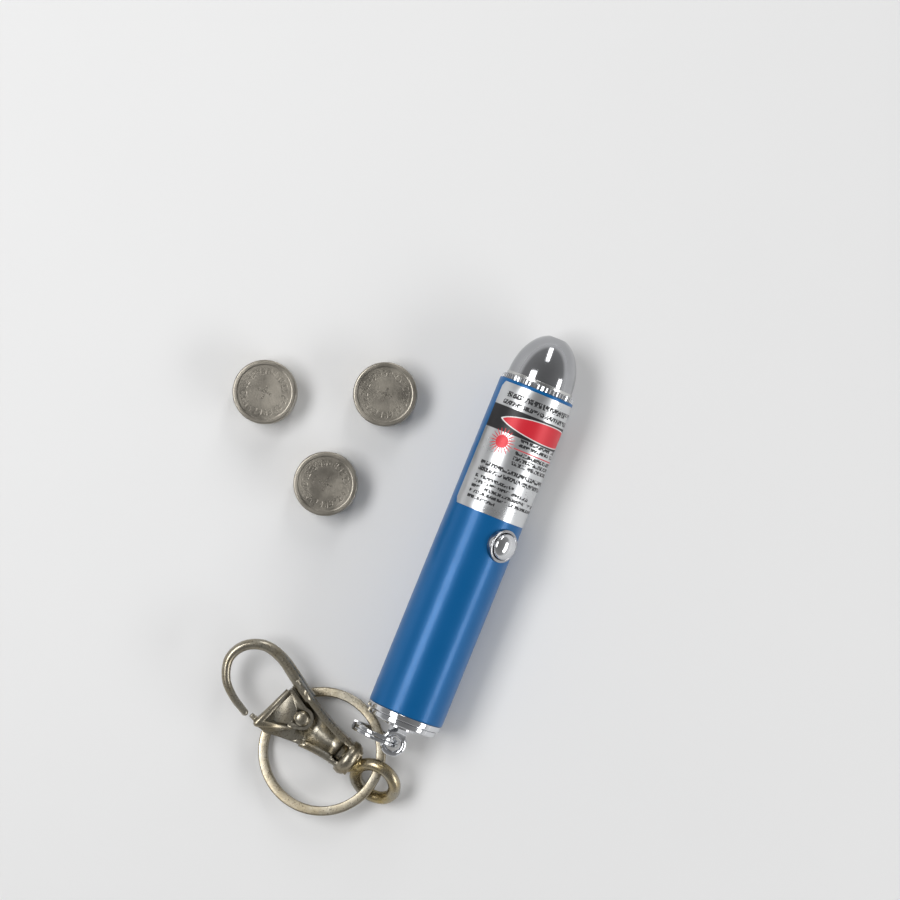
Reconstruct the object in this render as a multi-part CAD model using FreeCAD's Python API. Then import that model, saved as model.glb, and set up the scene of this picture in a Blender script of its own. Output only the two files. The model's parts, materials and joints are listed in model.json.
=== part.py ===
"""Keychain laser pointer for cats, lying on its side, with its split rings, snap clasp and cells.

Millimetres. X runs along the barrel's axis towards the nose and Z is up. The sizes below count
X from the barrel's front end; what is written out counts it from the centre of the battery bay,
on the same axis. The surface that everything lies on is one barrel radius down.
"""
import FreeCAD
import Part
import math
import os

# ---- driving dimensions, mm and degrees ----

# barrel
BARREL_WALL = 0.7
BARREL_EDGE = 0.25
LABEL_THICK = 0.06
LABEL_FRONT = 0.6
LABEL_TO_COLLAR = 1.15
LABEL_FIRST_DEG = -60.0
LABEL_LAST_DEG = 134.7

# clearances
GLUE_GAP = 0.02
SEAT_GAP = 0.05
SLIDE_GAP = 0.1
FREE_GAP = 0.3

# push button, on the flank: 0 deg is up, positive towards -Y
BUTTON_ON_BOARD = 14.0
BUTTON_DEG = 41.6
BUTTON_TRAVEL = 0.7
BUTTON_R = 2.4
BUTTON_PROUD = 1.9
BUTTON_DOME_H = 1.25
BUTTON_FLANGE_R = 2.9
BUTTON_FLANGE_H = 0.7
BUTTON_STEM_R = 1.1
COLLAR_WALL = 0.55
COLLAR_PROUD = 0.55
COLLAR_SINK = 1.5

# driver board and tactile switch
BOARD_LEN = 21.5
BOARD_WIDTH = 9.4
BOARD_THICK = 1.0
RESISTOR = (1.25, 2.0, 0.6)
CAPACITOR = (1.25, 2.0, 0.9)
TRANSISTOR = (2.9, 1.4, 1.0)
TOP_PIECES = ((0.0, 2.6, RESISTOR), (0.0, -2.6, CAPACITOR), (2.4, 0.0, TRANSISTOR))
CHIP_SIDE = 4.0
CHIP_H = 1.4
SWITCH_SIDE = 4.4
SWITCH_H = 2.4
PLUNGER_R = 1.0
PLUNGER_FOOT = 1.4

# laser module
MODULE_FRONT = 3.2
MODULE_LEN = 10.6
MODULE_R = 4.3
MODULE_LAND = 2.0
MODULE_WAIST = 1.0
LENS_R = 3.0
LENS_THICK = 1.0
LENS_BULGE = 0.7
LENS_SEAT = 3.6
RETAINER_LEN = 1.2
RETAINER_HOLE_R = 2.0
RETAINER_SLOT = 0.7
BEAM_R = 1.6
DIODE_FLANGE_R = 2.8
DIODE_FLANGE_H = 1.2
DIODE_CAN_R = 2.35
DIODE_CAN_H = 2.0
DIODE_WINDOW_R = 0.8
LEAD_R = 0.22
LEAD_LEN = 4.6
LEAD_SPREAD = 1.27

# nose
KNURL_LEN = 0.9
KNURL_INSET = 0.25
KNURL_DEPTH = 0.22
KNURL_TEETH = 48
NOSE_INSET = 0.9
NOSE_H = 8.9
NOSE_WALL = 0.9
DOME_ARCS = 4
NOSE_RIM = 0.5
NOSE_SPIGOT = 2.2
APERTURE_R = 1.7
WINDOW_THICK = 0.8
WINDOW_LAP = 0.6

# battery bay and button cells
CELL_R = 5.8
CELL_H = 5.4
CELL_COUNT = 3
BAY_CLEAR = 0.1
BAY_SPARE = 0.8
CONTACT_ROOM = 5.4
BAY_TO_END = 4.5
SLEEVE_WALL = 0.35
BAY_DISC = 1.0
BAY_DISC_HOLE_R = 3.2
COIL_STATIONS = 16
COIL_SIDES = 6
CONTACT_WIRE = 0.4
CONTACT_R = 2.4
CONTACT_TURNS = 3
CONTACT_END_GAP = 0.1
CELL_PLACES = ((-18.7, 45.3), (-10.9, 25.0), (-29.9, 28.9))
CELL_SEAL = 0.975
CELL_CAP_H = 0.6
CELL_GASKET = 0.45
CELL_EDGE = 0.5
CELL_MARK_H = 0.08

# end cap, its O-ring, spring and lug
CAP_INSET = 0.05
CAP_BAND = 1.0
CAP_REAR_STEP = 0.5
CAP_GROOVE = 0.2
CAP_GROOVE_DEPTH = 0.85
CAP_EDGE = 0.4
SPIGOT_LEN = 3.9
SPIGOT_WALL = 1.0
SPIGOT_FLOOR = 1.6
ORING_WIRE_R = 0.3
ORING_FROM_BAND = 2.4
TAIL_WIRE = 0.5
TAIL_BASE_R = 4.2
TAIL_TIP_R = 2.0
TAIL_TURNS = 3
LUG_FLANGE_R = 2.9
LUG_FLANGE_H = 0.6
LUG_SHANK_R = 1.2
LUG_HEAD_R = 1.9
LUG_HEAD_H = 0.5
LUG_REACH = 3.68
LUG_HOLE_R = 1.4
LUG_RIM = 0.95
LUG_THICK = 1.6
LUG_NECK = 3.4
LUG_EDGE = 0.3

# small split ring through the lug, standing on edge
SMALL_RING_R = 4.6
SMALL_RING_WIRE = 0.8
SMALL_RING_TURN = 0.7
SMALL_RING_DEG = 88.0
SMALL_RING_DROP = 2.3

# large split ring, which lies with its far side on the surface and its near side lifted
KEY_RING_R = 11.6
KEY_RING_WIRE = 1.7
KEY_RING_TURN = 0.8
KEY_RING_FROM_LUG = FreeCAD.Vector(-6.65, 11.3, 0)
KEY_RING_TILT = 8.0
KEY_RING_LIFT_DEG = -120.0
RING_TURN_GAP = 0.06
RING_RAMP_DEG = 26.0

# snap clasp, along its own axis from the rivet towards the hook
CLASP_FROM_LUG = FreeCAD.Vector(-2.2, 16.9, 0)
CLASP_DEG = 71.0
CLASP_RISE = 4.5
CLASP_OVER_FLOOR = 5.15
EYE_BACK = 17.5
EYE_WIRE_R = 1.15
EYE_LOOP_R = 3.85
EYE_ROLL = -42.0
EYE_NECK_R = 2.1
ROUND_SIDES = 10
SWIVEL_POST_R = 1.0
SWIVEL_HEAD_R = 1.7
SWIVEL_HEAD_H = 0.8
SOCKET_BACK = 12.4
SOCKET_LEN = 2.6
SOCKET_R = 3.4
SOCKET_MOUTH_R = 2.3
SOCKET_BEAD_R = 3.0
SOCKET_GROOVE = 0.35
CLASP_HALF = 2.2
CLASP_FLOOR = 1.3
CLASP_RAIL = 1.3
CLASP_EDGE = 0.6
CLASP_LEFT = ((-12.4, 2.6), (-7.0, 3.0), (-2.0, 4.3), (3.6, 6.6))
CLASP_RIGHT = ((-12.4, -2.6), (-5.0, -3.2), (0.5, -4.2), (5.2, -5.4))
CLASP_SWING = (-2.6, 0.6)
CLASP_MOUTH = (2.4, -4.4)
HOOK_LINE = (
    (1.0, -3.6),
    (5.5, -4.8),
    (10.0, -5.9),
    (13.8, -5.5),
    (16.5, -3.0),
    (17.0, 0.4),
    (15.0, 3.5),
    (12.0, 5.1),
    (8.9, 5.9),
)
HOOK_ROOT_R = 1.25
HOOK_TIP_R = 0.65
HOOK_STATIONS = 15
RIVET_R = 0.9
RIVET_HEAD_R = 1.5
RIVET_HEAD_H = 0.5
TRIGGER_THICK = 1.5
TRIGGER_HUB_R = 2.1
TRIGGER_BAR = 1.3
TRIGGER_EDGE = 0.5
TRIGGER_ARM = ((-0.4, 2.0), (3.4, 6.2), (6.4, 6.4), (5.0, -3.0), (0.6, -2.0))
TRIGGER_BARS = ((5.0, -2.2), (5.6, 5.9), (1.0, 2.9))
TRIGGER_BEAK = ((5.0, 5.6), (7.4, 5.5))
TORSION_WIRE = 0.3
TORSION_TURNS = 2

# ---- places worked out from them ----

X_AXIS = FreeCAD.Vector(1, 0, 0)
Y_AXIS = FreeCAD.Vector(0, 1, 0)
Z_AXIS = FreeCAD.Vector(0, 0, 1)
ORIGIN = FreeCAD.Vector(0, 0, 0)
NEAR = 0.01
SAMPLE_DEG = 1.0

CELL_CAP_R = CELL_R - CELL_GASKET / 2 - CELL_SEAL

# the barrel is as wide and as long as what goes in it
BAY_R = CELL_R + BAY_CLEAR
BORE_R = BAY_R + SLEEVE_WALL + SEAT_GAP
BARREL_R = BORE_R + BARREL_WALL
FLOOR_Z = -BARREL_R
BOARD_FRONT = MODULE_FRONT + MODULE_LEN + FREE_GAP
BOARD_BACK = BOARD_FRONT + BOARD_LEN
BAY_FRONT = BOARD_BACK + CONTACT_ROOM
BAY_LEN = CELL_COUNT * CELL_H + BAY_SPARE
BAY_BACK = BAY_FRONT + BAY_LEN
BAY_CENTRE_X = -(BAY_FRONT + BAY_BACK) / 2
BARREL_LEN = BAY_BACK + BAY_TO_END

BUTTON_FROM_FRONT = BOARD_FRONT + BUTTON_ON_BOARD
BUTTON_TOP = BARREL_R + BUTTON_PROUD
COLLAR_R = BUTTON_R + SLIDE_GAP + COLLAR_WALL
COLLAR_BASE = BARREL_R - COLLAR_SINK
LABEL_LEN = BUTTON_FROM_FRONT - COLLAR_R - LABEL_TO_COLLAR - LABEL_FRONT
STEM_FOOT = SWITCH_H + PLUNGER_FOOT / 2 + SEAT_GAP
PLUNGER_TOP = STEM_FOOT - SEAT_GAP
KNURL_R = BARREL_R - KNURL_INSET
NOSE_R = BARREL_R - NOSE_INSET
NOSE_BASE = KNURL_LEN
SPIGOT_R = BORE_R - SLIDE_GAP
CAP_R = BARREL_R - CAP_INSET
CAP_REAR_R = CAP_R - CAP_REAR_STEP
CAP_GROOVE_R = CAP_R - CAP_GROOVE_DEPTH
CAP_LEN = 2 * CAP_BAND + CAP_GROOVE
CAP_BACK = -BARREL_LEN - GLUE_GAP - CAP_LEN
LUG_HOLE = X_AXIS * (CAP_BACK - LUG_REACH)
SMALL_RING_MEAN = SMALL_RING_R - SMALL_RING_WIRE / 2
SMALL_RING_REACH = math.sqrt(SMALL_RING_MEAN**2 - SMALL_RING_DROP**2)


def direction(degrees):
    """A level unit vector, turned from +X towards +Y."""
    return FreeCAD.Vector(math.cos(math.radians(degrees)), math.sin(math.radians(degrees)), 0)


SMALL_RING_CENTRE = LUG_HOLE + direction(SMALL_RING_DEG) * SMALL_RING_REACH - Z_AXIS * SMALL_RING_DROP
KEY_RING_HALF_H = KEY_RING_TURN + RING_TURN_GAP / 2
KEY_RING_Z = (
    FLOOR_Z
    + KEY_RING_R * math.sin(math.radians(KEY_RING_TILT))
    + KEY_RING_HALF_H * math.cos(math.radians(KEY_RING_TILT))
)


def radial_frame(x, degrees):
    """The placement whose Z points out of the barrel at that angle, from the axis at x."""
    turn = FreeCAD.Rotation(X_AXIS, degrees)
    return FreeCAD.Placement(FreeCAD.Vector(x, 0, 0), turn)


BUTTON_FRAME = radial_frame(-BUTTON_FROM_FRONT, BUTTON_DEG)
KEY_RING_FRAME = FreeCAD.Placement(
    LUG_HOLE + KEY_RING_FROM_LUG + Z_AXIS * KEY_RING_Z,
    FreeCAD.Rotation(direction(KEY_RING_LIFT_DEG - 90), KEY_RING_TILT),
)
SMALL_RING_FRAME = FreeCAD.Placement(
    SMALL_RING_CENTRE,
    FreeCAD.Rotation(Z_AXIS, SMALL_RING_DEG) * FreeCAD.Rotation(X_AXIS, 90),
)
CLASP_FRAME = FreeCAD.Placement(
    LUG_HOLE + CLASP_FROM_LUG + Z_AXIS * (FLOOR_Z + CLASP_OVER_FLOOR),
    FreeCAD.Rotation(Z_AXIS, CLASP_DEG) * FreeCAD.Rotation(Y_AXIS, -CLASP_RISE),
)


# ---- helpers ----


def turned(points):
    """The solid that a closed outline of (x, radius) points sweeps about the X axis."""
    corners = [FreeCAD.Vector(x, r, 0) for x, r in points]
    face = Part.Face(Part.makePolygon(corners + corners[:1]))
    return face.revolve(ORIGIN, X_AXIS, 360)


def turned_up(points):
    """The solid that a closed outline of (radius, z) points sweeps about the Z axis."""
    corners = [FreeCAD.Vector(r, 0, z) for r, z in points]
    face = Part.Face(Part.makePolygon(corners + corners[:1]))
    return face.revolve(ORIGIN, Z_AXIS, 360)


def round_section(across, along, radius):
    """The corners of a many-sided section that stands for a round one."""
    corners = []
    for k in range(ROUND_SIDES):
        turn = 2 * math.pi * k / ROUND_SIDES
        corners.append((across + radius * math.cos(turn), along + radius * math.sin(turn)))
    return corners


def disc(radius, low, high):
    """An upright cylinder on the Z axis from low to high."""
    return Part.makeCylinder(radius, high - low, FreeCAD.Vector(0, 0, low))


def shaft(radius, back, front):
    """A cylinder on the X axis from back to front."""
    return Part.makeCylinder(radius, front - back, FreeCAD.Vector(back, 0, 0), X_AXIS)


def brick(low, high):
    """A box between two corners."""
    sides = [b - a for a, b in zip(low, high)]
    return Part.makeBox(sides[0], sides[1], sides[2], FreeCAD.Vector(*low))


def placed(shape, frame):
    """A copy of the shape, moved from its own frame to the part's."""
    moved = shape.copy()
    moved.Placement = frame.multiply(moved.Placement)
    return moved


def spring(start, length, first_r, last_r, turns, wire):
    """A coil along +X from start, of hexagonal sections, whose radius goes from first_r to last_r."""
    pitch = (length - wire) / turns
    sections = []
    for i in range(turns * COIL_STATIONS + 1):
        share = i / (turns * COIL_STATIONS)
        spin = FreeCAD.Rotation(X_AXIS, 360 * i / COIL_STATIONS)
        radius = first_r + (last_r - first_r) * share
        corners = []
        for k in range(COIL_SIDES):
            turn = 2 * math.pi * k / COIL_SIDES
            along = start + wire / 2 + pitch * turns * share + wire / 2 * math.sin(turn)
            corners.append(spin.multVec(FreeCAD.Vector(along, radius + wire / 2 * math.cos(turn), 0)))
        sections.append(Part.makePolygon(corners + corners[:1]))
    return Part.makeLoft(sections, True, True)


def split_ring(outer_r, wire, turn):
    """Two flat turns of wire on each other, joined by one sloping step, flat in XY."""

    def section(degrees, low):
        inner_r = outer_r - wire
        corners = [(inner_r, low), (outer_r, low), (outer_r, low + turn), (inner_r, low + turn)]
        spin = FreeCAD.Rotation(Z_AXIS, degrees)
        points = [spin.multVec(FreeCAD.Vector(r, 0, z)) for r, z in corners]
        return Part.makePolygon(points + points[:1])

    lower = -turn - RING_TURN_GAP / 2
    upper = RING_TURN_GAP / 2
    half = RING_RAMP_DEG / 2
    sweep = 360 - RING_RAMP_DEG
    steps = 6
    ramp = []
    for i in range(steps + 1):
        share = i / steps
        rise = (1 - math.cos(math.pi * share)) / 2
        ramp.append(section(-half + RING_RAMP_DEG * share, lower + (upper - lower) * rise))
    first = Part.Face(section(half, lower)).revolve(ORIGIN, Z_AXIS, sweep)
    step = Part.makeLoft(ramp, True)
    last = Part.Face(section(half, upper)).revolve(ORIGIN, Z_AXIS, sweep)
    return first.fuse([step, last]).removeSplitter()


def export(name, shape):
    """Write one node's solids, with the bay's centre brought to the origin."""
    moved = shape.copy()
    moved.translate(X_AXIS * -BAY_CENTRE_X)
    moved.exportStep("parts/" + name + ".step")


# ---- barrel and what it carries ----


def barrel_tube():
    tube = shaft(BARREL_R, -BARREL_LEN, 0).cut(shaft(BORE_R, -BARREL_LEN, 0))
    rims = [e for e in tube.Edges if e.Curve.TypeId == "Part::GeomCircle" and e.Curve.Radius > BORE_R]
    tube = tube.makeChamfer(BARREL_EDGE, rims)
    hole = placed(disc(COLLAR_R + GLUE_GAP, 0, 2 * BARREL_R), BUTTON_FRAME)
    return tube.cut(hole)


def barrel_label():
    """Thin foil, wrapped about half way round the barrel's front."""
    inner = BARREL_R + GLUE_GAP
    foil = shaft(inner + LABEL_THICK, -LABEL_FRONT - LABEL_LEN, -LABEL_FRONT)
    foil = foil.cut(shaft(inner, -LABEL_FRONT - LABEL_LEN, -LABEL_FRONT))
    sweep = LABEL_LAST_DEG - LABEL_FIRST_DEG
    reach = 2 * BARREL_R
    wedge = Part.makeCylinder(reach, BARREL_LEN, FreeCAD.Vector(-BARREL_LEN, 0, 0), X_AXIS, sweep)
    wedge.rotate(ORIGIN, X_AXIS, LABEL_FIRST_DEG + cylinder_seam_deg())
    return foil.common(wedge)


def cylinder_seam_deg():
    """The turn about X that brings the start of a part cylinder on the X axis to +Z."""
    sample = Part.makeCylinder(1, 1, ORIGIN, X_AXIS, SAMPLE_DEG)
    middle = sample.CenterOfMass
    return -math.degrees(math.atan2(-middle.y, middle.z)) - SAMPLE_DEG / 2


def button_collar():
    inner = BUTTON_R + SLIDE_GAP
    top = BARREL_R + COLLAR_PROUD
    outline = [
        (inner, COLLAR_BASE),
        (COLLAR_R, COLLAR_BASE),
        (COLLAR_R, top - COLLAR_WALL / 2),
        (COLLAR_R - COLLAR_WALL / 3, top),
        (inner + COLLAR_WALL / 4, top),
        (inner, top - COLLAR_WALL / 4),
    ]
    return placed(turned_up(outline), BUTTON_FRAME)


def push_button():
    """A domed cap, a flange that keeps it in, and a stem down to the switch."""
    shoulder = BUTTON_TOP - BUTTON_DOME_H
    dome_r = (BUTTON_R**2 + BUTTON_DOME_H**2) / (2 * BUTTON_DOME_H)
    dome = Part.makeSphere(dome_r, FreeCAD.Vector(0, 0, BUTTON_TOP - dome_r))
    dome = dome.common(disc(BUTTON_R, shoulder, BUTTON_TOP))
    flange_top = COLLAR_BASE - SLIDE_GAP
    flange_foot = flange_top - BUTTON_FLANGE_H
    body = disc(BUTTON_R, flange_foot, shoulder)
    body = body.fuse([dome, disc(BUTTON_FLANGE_R, flange_foot, flange_top)])
    body = body.fuse(disc(BUTTON_STEM_R, STEM_FOOT, flange_foot))
    return placed(body.removeSplitter(), BUTTON_FRAME)


def switch_body():
    half = SWITCH_SIDE / 2
    case = brick((-half, -half, 0), (half, half, SWITCH_H))
    corners = [e for e in case.Edges if abs(e.CenterOfMass.z - SWITCH_H / 2) < NEAR]
    case = case.makeChamfer(PLUNGER_R / 4, corners)
    foot = PLUNGER_TOP - PLUNGER_FOOT - BUTTON_TRAVEL
    well = disc(PLUNGER_R + SEAT_GAP, foot, SWITCH_H)
    return placed(case.cut(well), BUTTON_FRAME)


def switch_plunger():
    plunger = disc(PLUNGER_R, PLUNGER_TOP - PLUNGER_FOOT, PLUNGER_TOP)
    return placed(plunger, BUTTON_FRAME)


def on_board(x):
    """The frame of a part on the board: Z out of its upper face."""
    return radial_frame(x, BUTTON_DEG)


def driver_board():
    half = BOARD_WIDTH / 2
    board = brick((-BOARD_BACK, -half, -BOARD_THICK), (-BOARD_FRONT, half, 0))
    corners = [e for e in board.Edges if abs(e.CenterOfMass.z + BOARD_THICK / 2) < NEAR]
    return placed(board.makeFillet(BOARD_THICK / 2, corners), on_board(0))


def driver_components():
    """Resistor, capacitor and transistor in front of the switch, and a chip under the board."""
    front = -BOARD_FRONT - LEAD_LEN
    solids = []
    for back, side, (length, width, height) in TOP_PIECES:
        low = (front - back - length, side - width / 2, 0)
        solids.append(brick(low, (front - back, side + width / 2, height)))
    chip_low = (front - 2 * CHIP_SIDE, -CHIP_SIDE / 2, -BOARD_THICK - CHIP_H)
    solids.append(brick(chip_low, (front - CHIP_SIDE, CHIP_SIDE / 2, -BOARD_THICK)))
    return placed(Part.makeCompound(solids), on_board(0))


def laser_module_housing():
    """A waisted barrel on two lands, bored for the diode, the beam, the lens and its retainer."""
    front = -MODULE_FRONT
    back = front - MODULE_LEN
    land_r = BORE_R - SEAT_GAP
    outside = [
        (back, 0),
        (back, land_r),
        (back + MODULE_LAND, land_r),
        (back + MODULE_LAND + MODULE_WAIST, MODULE_R),
        (front - MODULE_LAND - MODULE_WAIST, MODULE_R),
        (front - MODULE_LAND, land_r),
        (front, land_r),
        (front, 0),
    ]
    lens_back = front - LENS_SEAT
    housing = turned(outside)
    housing = housing.cut(shaft(LENS_R + SEAT_GAP, lens_back, front))
    housing = housing.cut(shaft(BEAM_R, back, front))
    housing = housing.cut(shaft(DIODE_CAN_R + SEAT_GAP, back, back + DIODE_FLANGE_H + DIODE_CAN_H + SEAT_GAP))
    return housing.cut(shaft(DIODE_FLANGE_R + SEAT_GAP, back, back + DIODE_FLANGE_H))


def laser_diode():
    """A flanged metal can with a small window and three leads back to the board."""
    back = -MODULE_FRONT - MODULE_LEN
    can = shaft(DIODE_FLANGE_R, back, back + DIODE_FLANGE_H)
    can = can.fuse(shaft(DIODE_CAN_R, back + DIODE_FLANGE_H, back + DIODE_FLANGE_H + DIODE_CAN_H))
    top = back + DIODE_FLANGE_H + DIODE_CAN_H
    can = can.cut(shaft(DIODE_WINDOW_R, top - DIODE_WINDOW_R / 2, top))
    above = LEAD_R + GLUE_GAP
    below = -BOARD_THICK - LEAD_R - GLUE_GAP
    for side, height in ((LEAD_SPREAD, above), (-LEAD_SPREAD, above), (0, below)):
        foot = FreeCAD.Vector(back - LEAD_LEN, side, height)
        lead = Part.makeCylinder(LEAD_R, LEAD_LEN + DIODE_FLANGE_H / 2, foot, X_AXIS)
        lead.rotate(ORIGIN, X_AXIS, BUTTON_DEG)
        can = can.fuse(lead)
    return can.removeSplitter()


def collimator_lens():
    """Flat behind and domed in front."""
    back = -MODULE_FRONT - LENS_SEAT
    dome_r = (RETAINER_HOLE_R**2 + LENS_BULGE**2) / (2 * LENS_BULGE)
    rim = back + LENS_THICK
    bulge = Part.makeSphere(dome_r, FreeCAD.Vector(rim + LENS_BULGE - dome_r, 0, 0))
    bulge = bulge.common(shaft(RETAINER_HOLE_R, rim, rim + LENS_BULGE))
    return shaft(LENS_R, back, rim).fuse(bulge).removeSplitter()


def lens_retainer():
    """A screwed ring with a driver slot across its face, which holds the lens on its seat."""
    back = -MODULE_FRONT - LENS_SEAT + LENS_THICK + SEAT_GAP
    front = back + RETAINER_LEN
    ring = shaft(LENS_R, back, front).cut(shaft(RETAINER_HOLE_R + SEAT_GAP, back, front))
    half = RETAINER_SLOT / 2
    slot = brick((front - half, -LENS_R, -half), (front, LENS_R, half))
    return ring.cut(slot)


def battery_sleeve():
    """An insulating liner, open to the rear, with a disc in front that holds the contact spring."""
    outer = BORE_R - SEAT_GAP
    liner = shaft(outer, -BAY_BACK, -BAY_FRONT + BAY_DISC).cut(shaft(BAY_R, -BAY_BACK, -BAY_FRONT))
    return liner.cut(shaft(BAY_DISC_HOLE_R, -BAY_FRONT, -BAY_FRONT + BAY_DISC))


def contact_spring():
    """From the board's rear edge to the front of the bay."""
    start = -BAY_FRONT + CONTACT_END_GAP
    length = BAY_FRONT - BOARD_BACK - 2 * CONTACT_END_GAP
    return spring(start, length, CONTACT_R, CONTACT_R, CONTACT_TURNS, CONTACT_WIRE)


# ---- nose ----


def nose_ring():
    """A thin ring with straight knurling, between barrel and nose."""
    points = []
    for i in range(2 * KNURL_TEETH):
        r = KNURL_R - KNURL_DEPTH * (i % 2)
        turn = math.pi * i / KNURL_TEETH
        points.append(FreeCAD.Vector(GLUE_GAP, r * math.cos(turn), r * math.sin(turn)))
    face = Part.Face(Part.makePolygon(points + points[:1]))
    ring = face.extrude(X_AXIS * (KNURL_LEN - 2 * GLUE_GAP))
    return ring.cut(shaft(NOSE_R - NOSE_WALL + GLUE_GAP, 0, KNURL_LEN))


def dome(radius, height):
    """The half ellipsoid that stands on the nose's rim, as a chain of arcs turned about X."""
    rim = NOSE_BASE + NOSE_RIM
    places = []
    for i in range(2 * DOME_ARCS + 1):
        turn = math.pi / 2 * i / (2 * DOME_ARCS)
        places.append(FreeCAD.Vector(rim + height * math.sin(turn), radius * math.cos(turn), 0))
    edges = []
    for i in range(DOME_ARCS):
        edges.append(Part.Arc(*places[2 * i : 2 * i + 3]).toShape())
    centre = FreeCAD.Vector(rim, 0, 0)
    edges.append(Part.makeLine(places[-1], centre))
    edges.append(Part.makeLine(centre, places[0]))
    return Part.Face(Part.Wire(edges)).revolve(ORIGIN, X_AXIS, 360)


def nose_cap():
    """A bullet-shaped shell with a short rim, a spigot into the barrel and the beam's aperture."""
    rim = NOSE_BASE + NOSE_RIM
    inner_r = NOSE_R - NOSE_WALL
    shell = dome(NOSE_R, NOSE_H).fuse(shaft(NOSE_R, NOSE_BASE, rim))
    hollow = dome(inner_r, NOSE_H - NOSE_WALL - WINDOW_THICK)
    spigot = shaft(inner_r, -NOSE_SPIGOT, NOSE_BASE)
    shell = shell.fuse(spigot).cut(hollow)
    shell = shell.cut(shaft(inner_r - NOSE_WALL, -NOSE_SPIGOT, rim))
    seat = window_back()
    shell = shell.cut(shaft(APERTURE_R + WINDOW_LAP + SEAT_GAP, rim, seat + WINDOW_THICK))
    return shell.cut(shaft(APERTURE_R, rim, rim + NOSE_H)).removeSplitter()


def window_back():
    """Where the window's rear face lies, one wall behind the tip."""
    return NOSE_BASE + NOSE_RIM + NOSE_H - NOSE_WALL - WINDOW_THICK


def nose_window():
    back = window_back()
    return shaft(APERTURE_R + WINDOW_LAP, back, back + WINDOW_THICK - SEAT_GAP)


# ---- end cap ----


def end_cap():
    """Two bands with a groove between them, and a hollow spigot that takes the O-ring and spring."""
    face = -BARREL_LEN - GLUE_GAP
    band = face - CAP_BAND
    groove = band - CAP_GROOVE
    back = groove - CAP_BAND
    spigot_end = -BARREL_LEN + SPIGOT_LEN
    oring_x = -BARREL_LEN + ORING_FROM_BAND
    half = ORING_WIRE_R + SEAT_GAP
    seat_r = SPIGOT_R - 2 * ORING_WIRE_R + SLIDE_GAP / 2
    outline = [
        (spigot_end, SPIGOT_R - SPIGOT_WALL),
        (spigot_end, SPIGOT_R),
        (oring_x + half, SPIGOT_R),
        (oring_x + half, seat_r),
        (oring_x - half, seat_r),
        (oring_x - half, SPIGOT_R),
        (face, SPIGOT_R),
        (face, CAP_R - CAP_EDGE / 2),
        (face - CAP_EDGE / 2, CAP_R),
        (band, CAP_R),
        (band, CAP_GROOVE_R),
        (groove, CAP_GROOVE_R),
        (groove, CAP_REAR_R),
        (back + CAP_EDGE, CAP_REAR_R),
        (back, CAP_REAR_R - CAP_EDGE),
        (back, LUG_SHANK_R + GLUE_GAP),
        (back + SPIGOT_FLOOR, LUG_SHANK_R + GLUE_GAP),
        (back + SPIGOT_FLOOR, SPIGOT_R - SPIGOT_WALL),
    ]
    return turned(outline)


def o_ring():
    centre_r = BORE_R - GLUE_GAP - ORING_WIRE_R
    section = round_section(-BARREL_LEN + ORING_FROM_BAND, centre_r, ORING_WIRE_R)
    return turned(section)


def tail_spring():
    """A conical coil on the end cap's floor, whose tip reaches the mouth of the bay."""
    start = CAP_BACK + SPIGOT_FLOOR + GLUE_GAP
    length = -BAY_BACK - FREE_GAP - start
    return spring(start, length, TAIL_BASE_R, TAIL_TIP_R, TAIL_TURNS, TAIL_WIRE)


def cap_lug():
    """An eyelet on a round flange, riveted through the end cap's floor."""
    back = CAP_BACK
    rim_r = LUG_HOLE_R + LUG_RIM
    half = LUG_THICK / 2
    plate = Part.makeCylinder(rim_r, LUG_THICK, LUG_HOLE - Z_AXIS * half)
    neck = brick((LUG_HOLE.x, -LUG_NECK / 2, -half), (back - LUG_FLANGE_H / 2, LUG_NECK / 2, half))
    plate = plate.fuse(neck).removeSplitter()
    plate = plate.cut(Part.makeCylinder(LUG_HOLE_R, LUG_THICK, LUG_HOLE - Z_AXIS * half))
    rims = [e for e in plate.Edges if e.Curve.TypeId == "Part::GeomCircle"]
    plate = plate.makeChamfer(LUG_EDGE, rims)
    flange_front = back - GLUE_GAP
    floor_front = back + SPIGOT_FLOOR
    rivet = shaft(LUG_FLANGE_R, flange_front - LUG_FLANGE_H, flange_front)
    rivet = rivet.fuse(shaft(LUG_SHANK_R, flange_front, floor_front + GLUE_GAP))
    rivet = rivet.fuse(shaft(LUG_HEAD_R, floor_front + GLUE_GAP, floor_front + GLUE_GAP + LUG_HEAD_H))
    return plate.fuse(rivet).removeSplitter()


# ---- rings ----


def small_split_ring():
    ring = split_ring(SMALL_RING_R, SMALL_RING_WIRE, SMALL_RING_TURN)
    return placed(ring, SMALL_RING_FRAME)


def key_ring():
    ring = split_ring(KEY_RING_R, KEY_RING_WIRE, KEY_RING_TURN)
    return placed(ring, KEY_RING_FRAME)


# ---- clasp, in its own frame: X to the hook, Z up, the rivet on the Z axis ----


def swivel_eye():
    """A round eye, a neck and a post with a riveted head inside the clasp's socket."""
    eye = turned_up(round_section(EYE_LOOP_R, 0, EYE_WIRE_R))
    eye.rotate(ORIGIN, X_AXIS, EYE_ROLL)
    eye.translate(FreeCAD.Vector(-EYE_BACK, 0, 0))
    neck_back = -EYE_BACK + EYE_LOOP_R
    socket_back = -SOCKET_BACK - SLIDE_GAP
    neck_from = FreeCAD.Vector(neck_back, 0, 0)
    neck = Part.makeCone(EYE_WIRE_R, EYE_NECK_R, socket_back - neck_back, neck_from, X_AXIS)
    head_back = -SOCKET_BACK + SOCKET_LEN + SLIDE_GAP
    post = shaft(SWIVEL_POST_R, socket_back, head_back)
    head = shaft(SWIVEL_HEAD_R, head_back, head_back + SWIVEL_HEAD_H)
    return placed(eye.fuse([neck, post, head]).removeSplitter(), CLASP_FRAME)


def side_curve(points, inset):
    """One side of the clasp body, moved across by the inset."""
    line = Part.BSplineCurve()
    line.interpolate([FreeCAD.Vector(u, v + inset, 0) for u, v in points])
    return line


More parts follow.
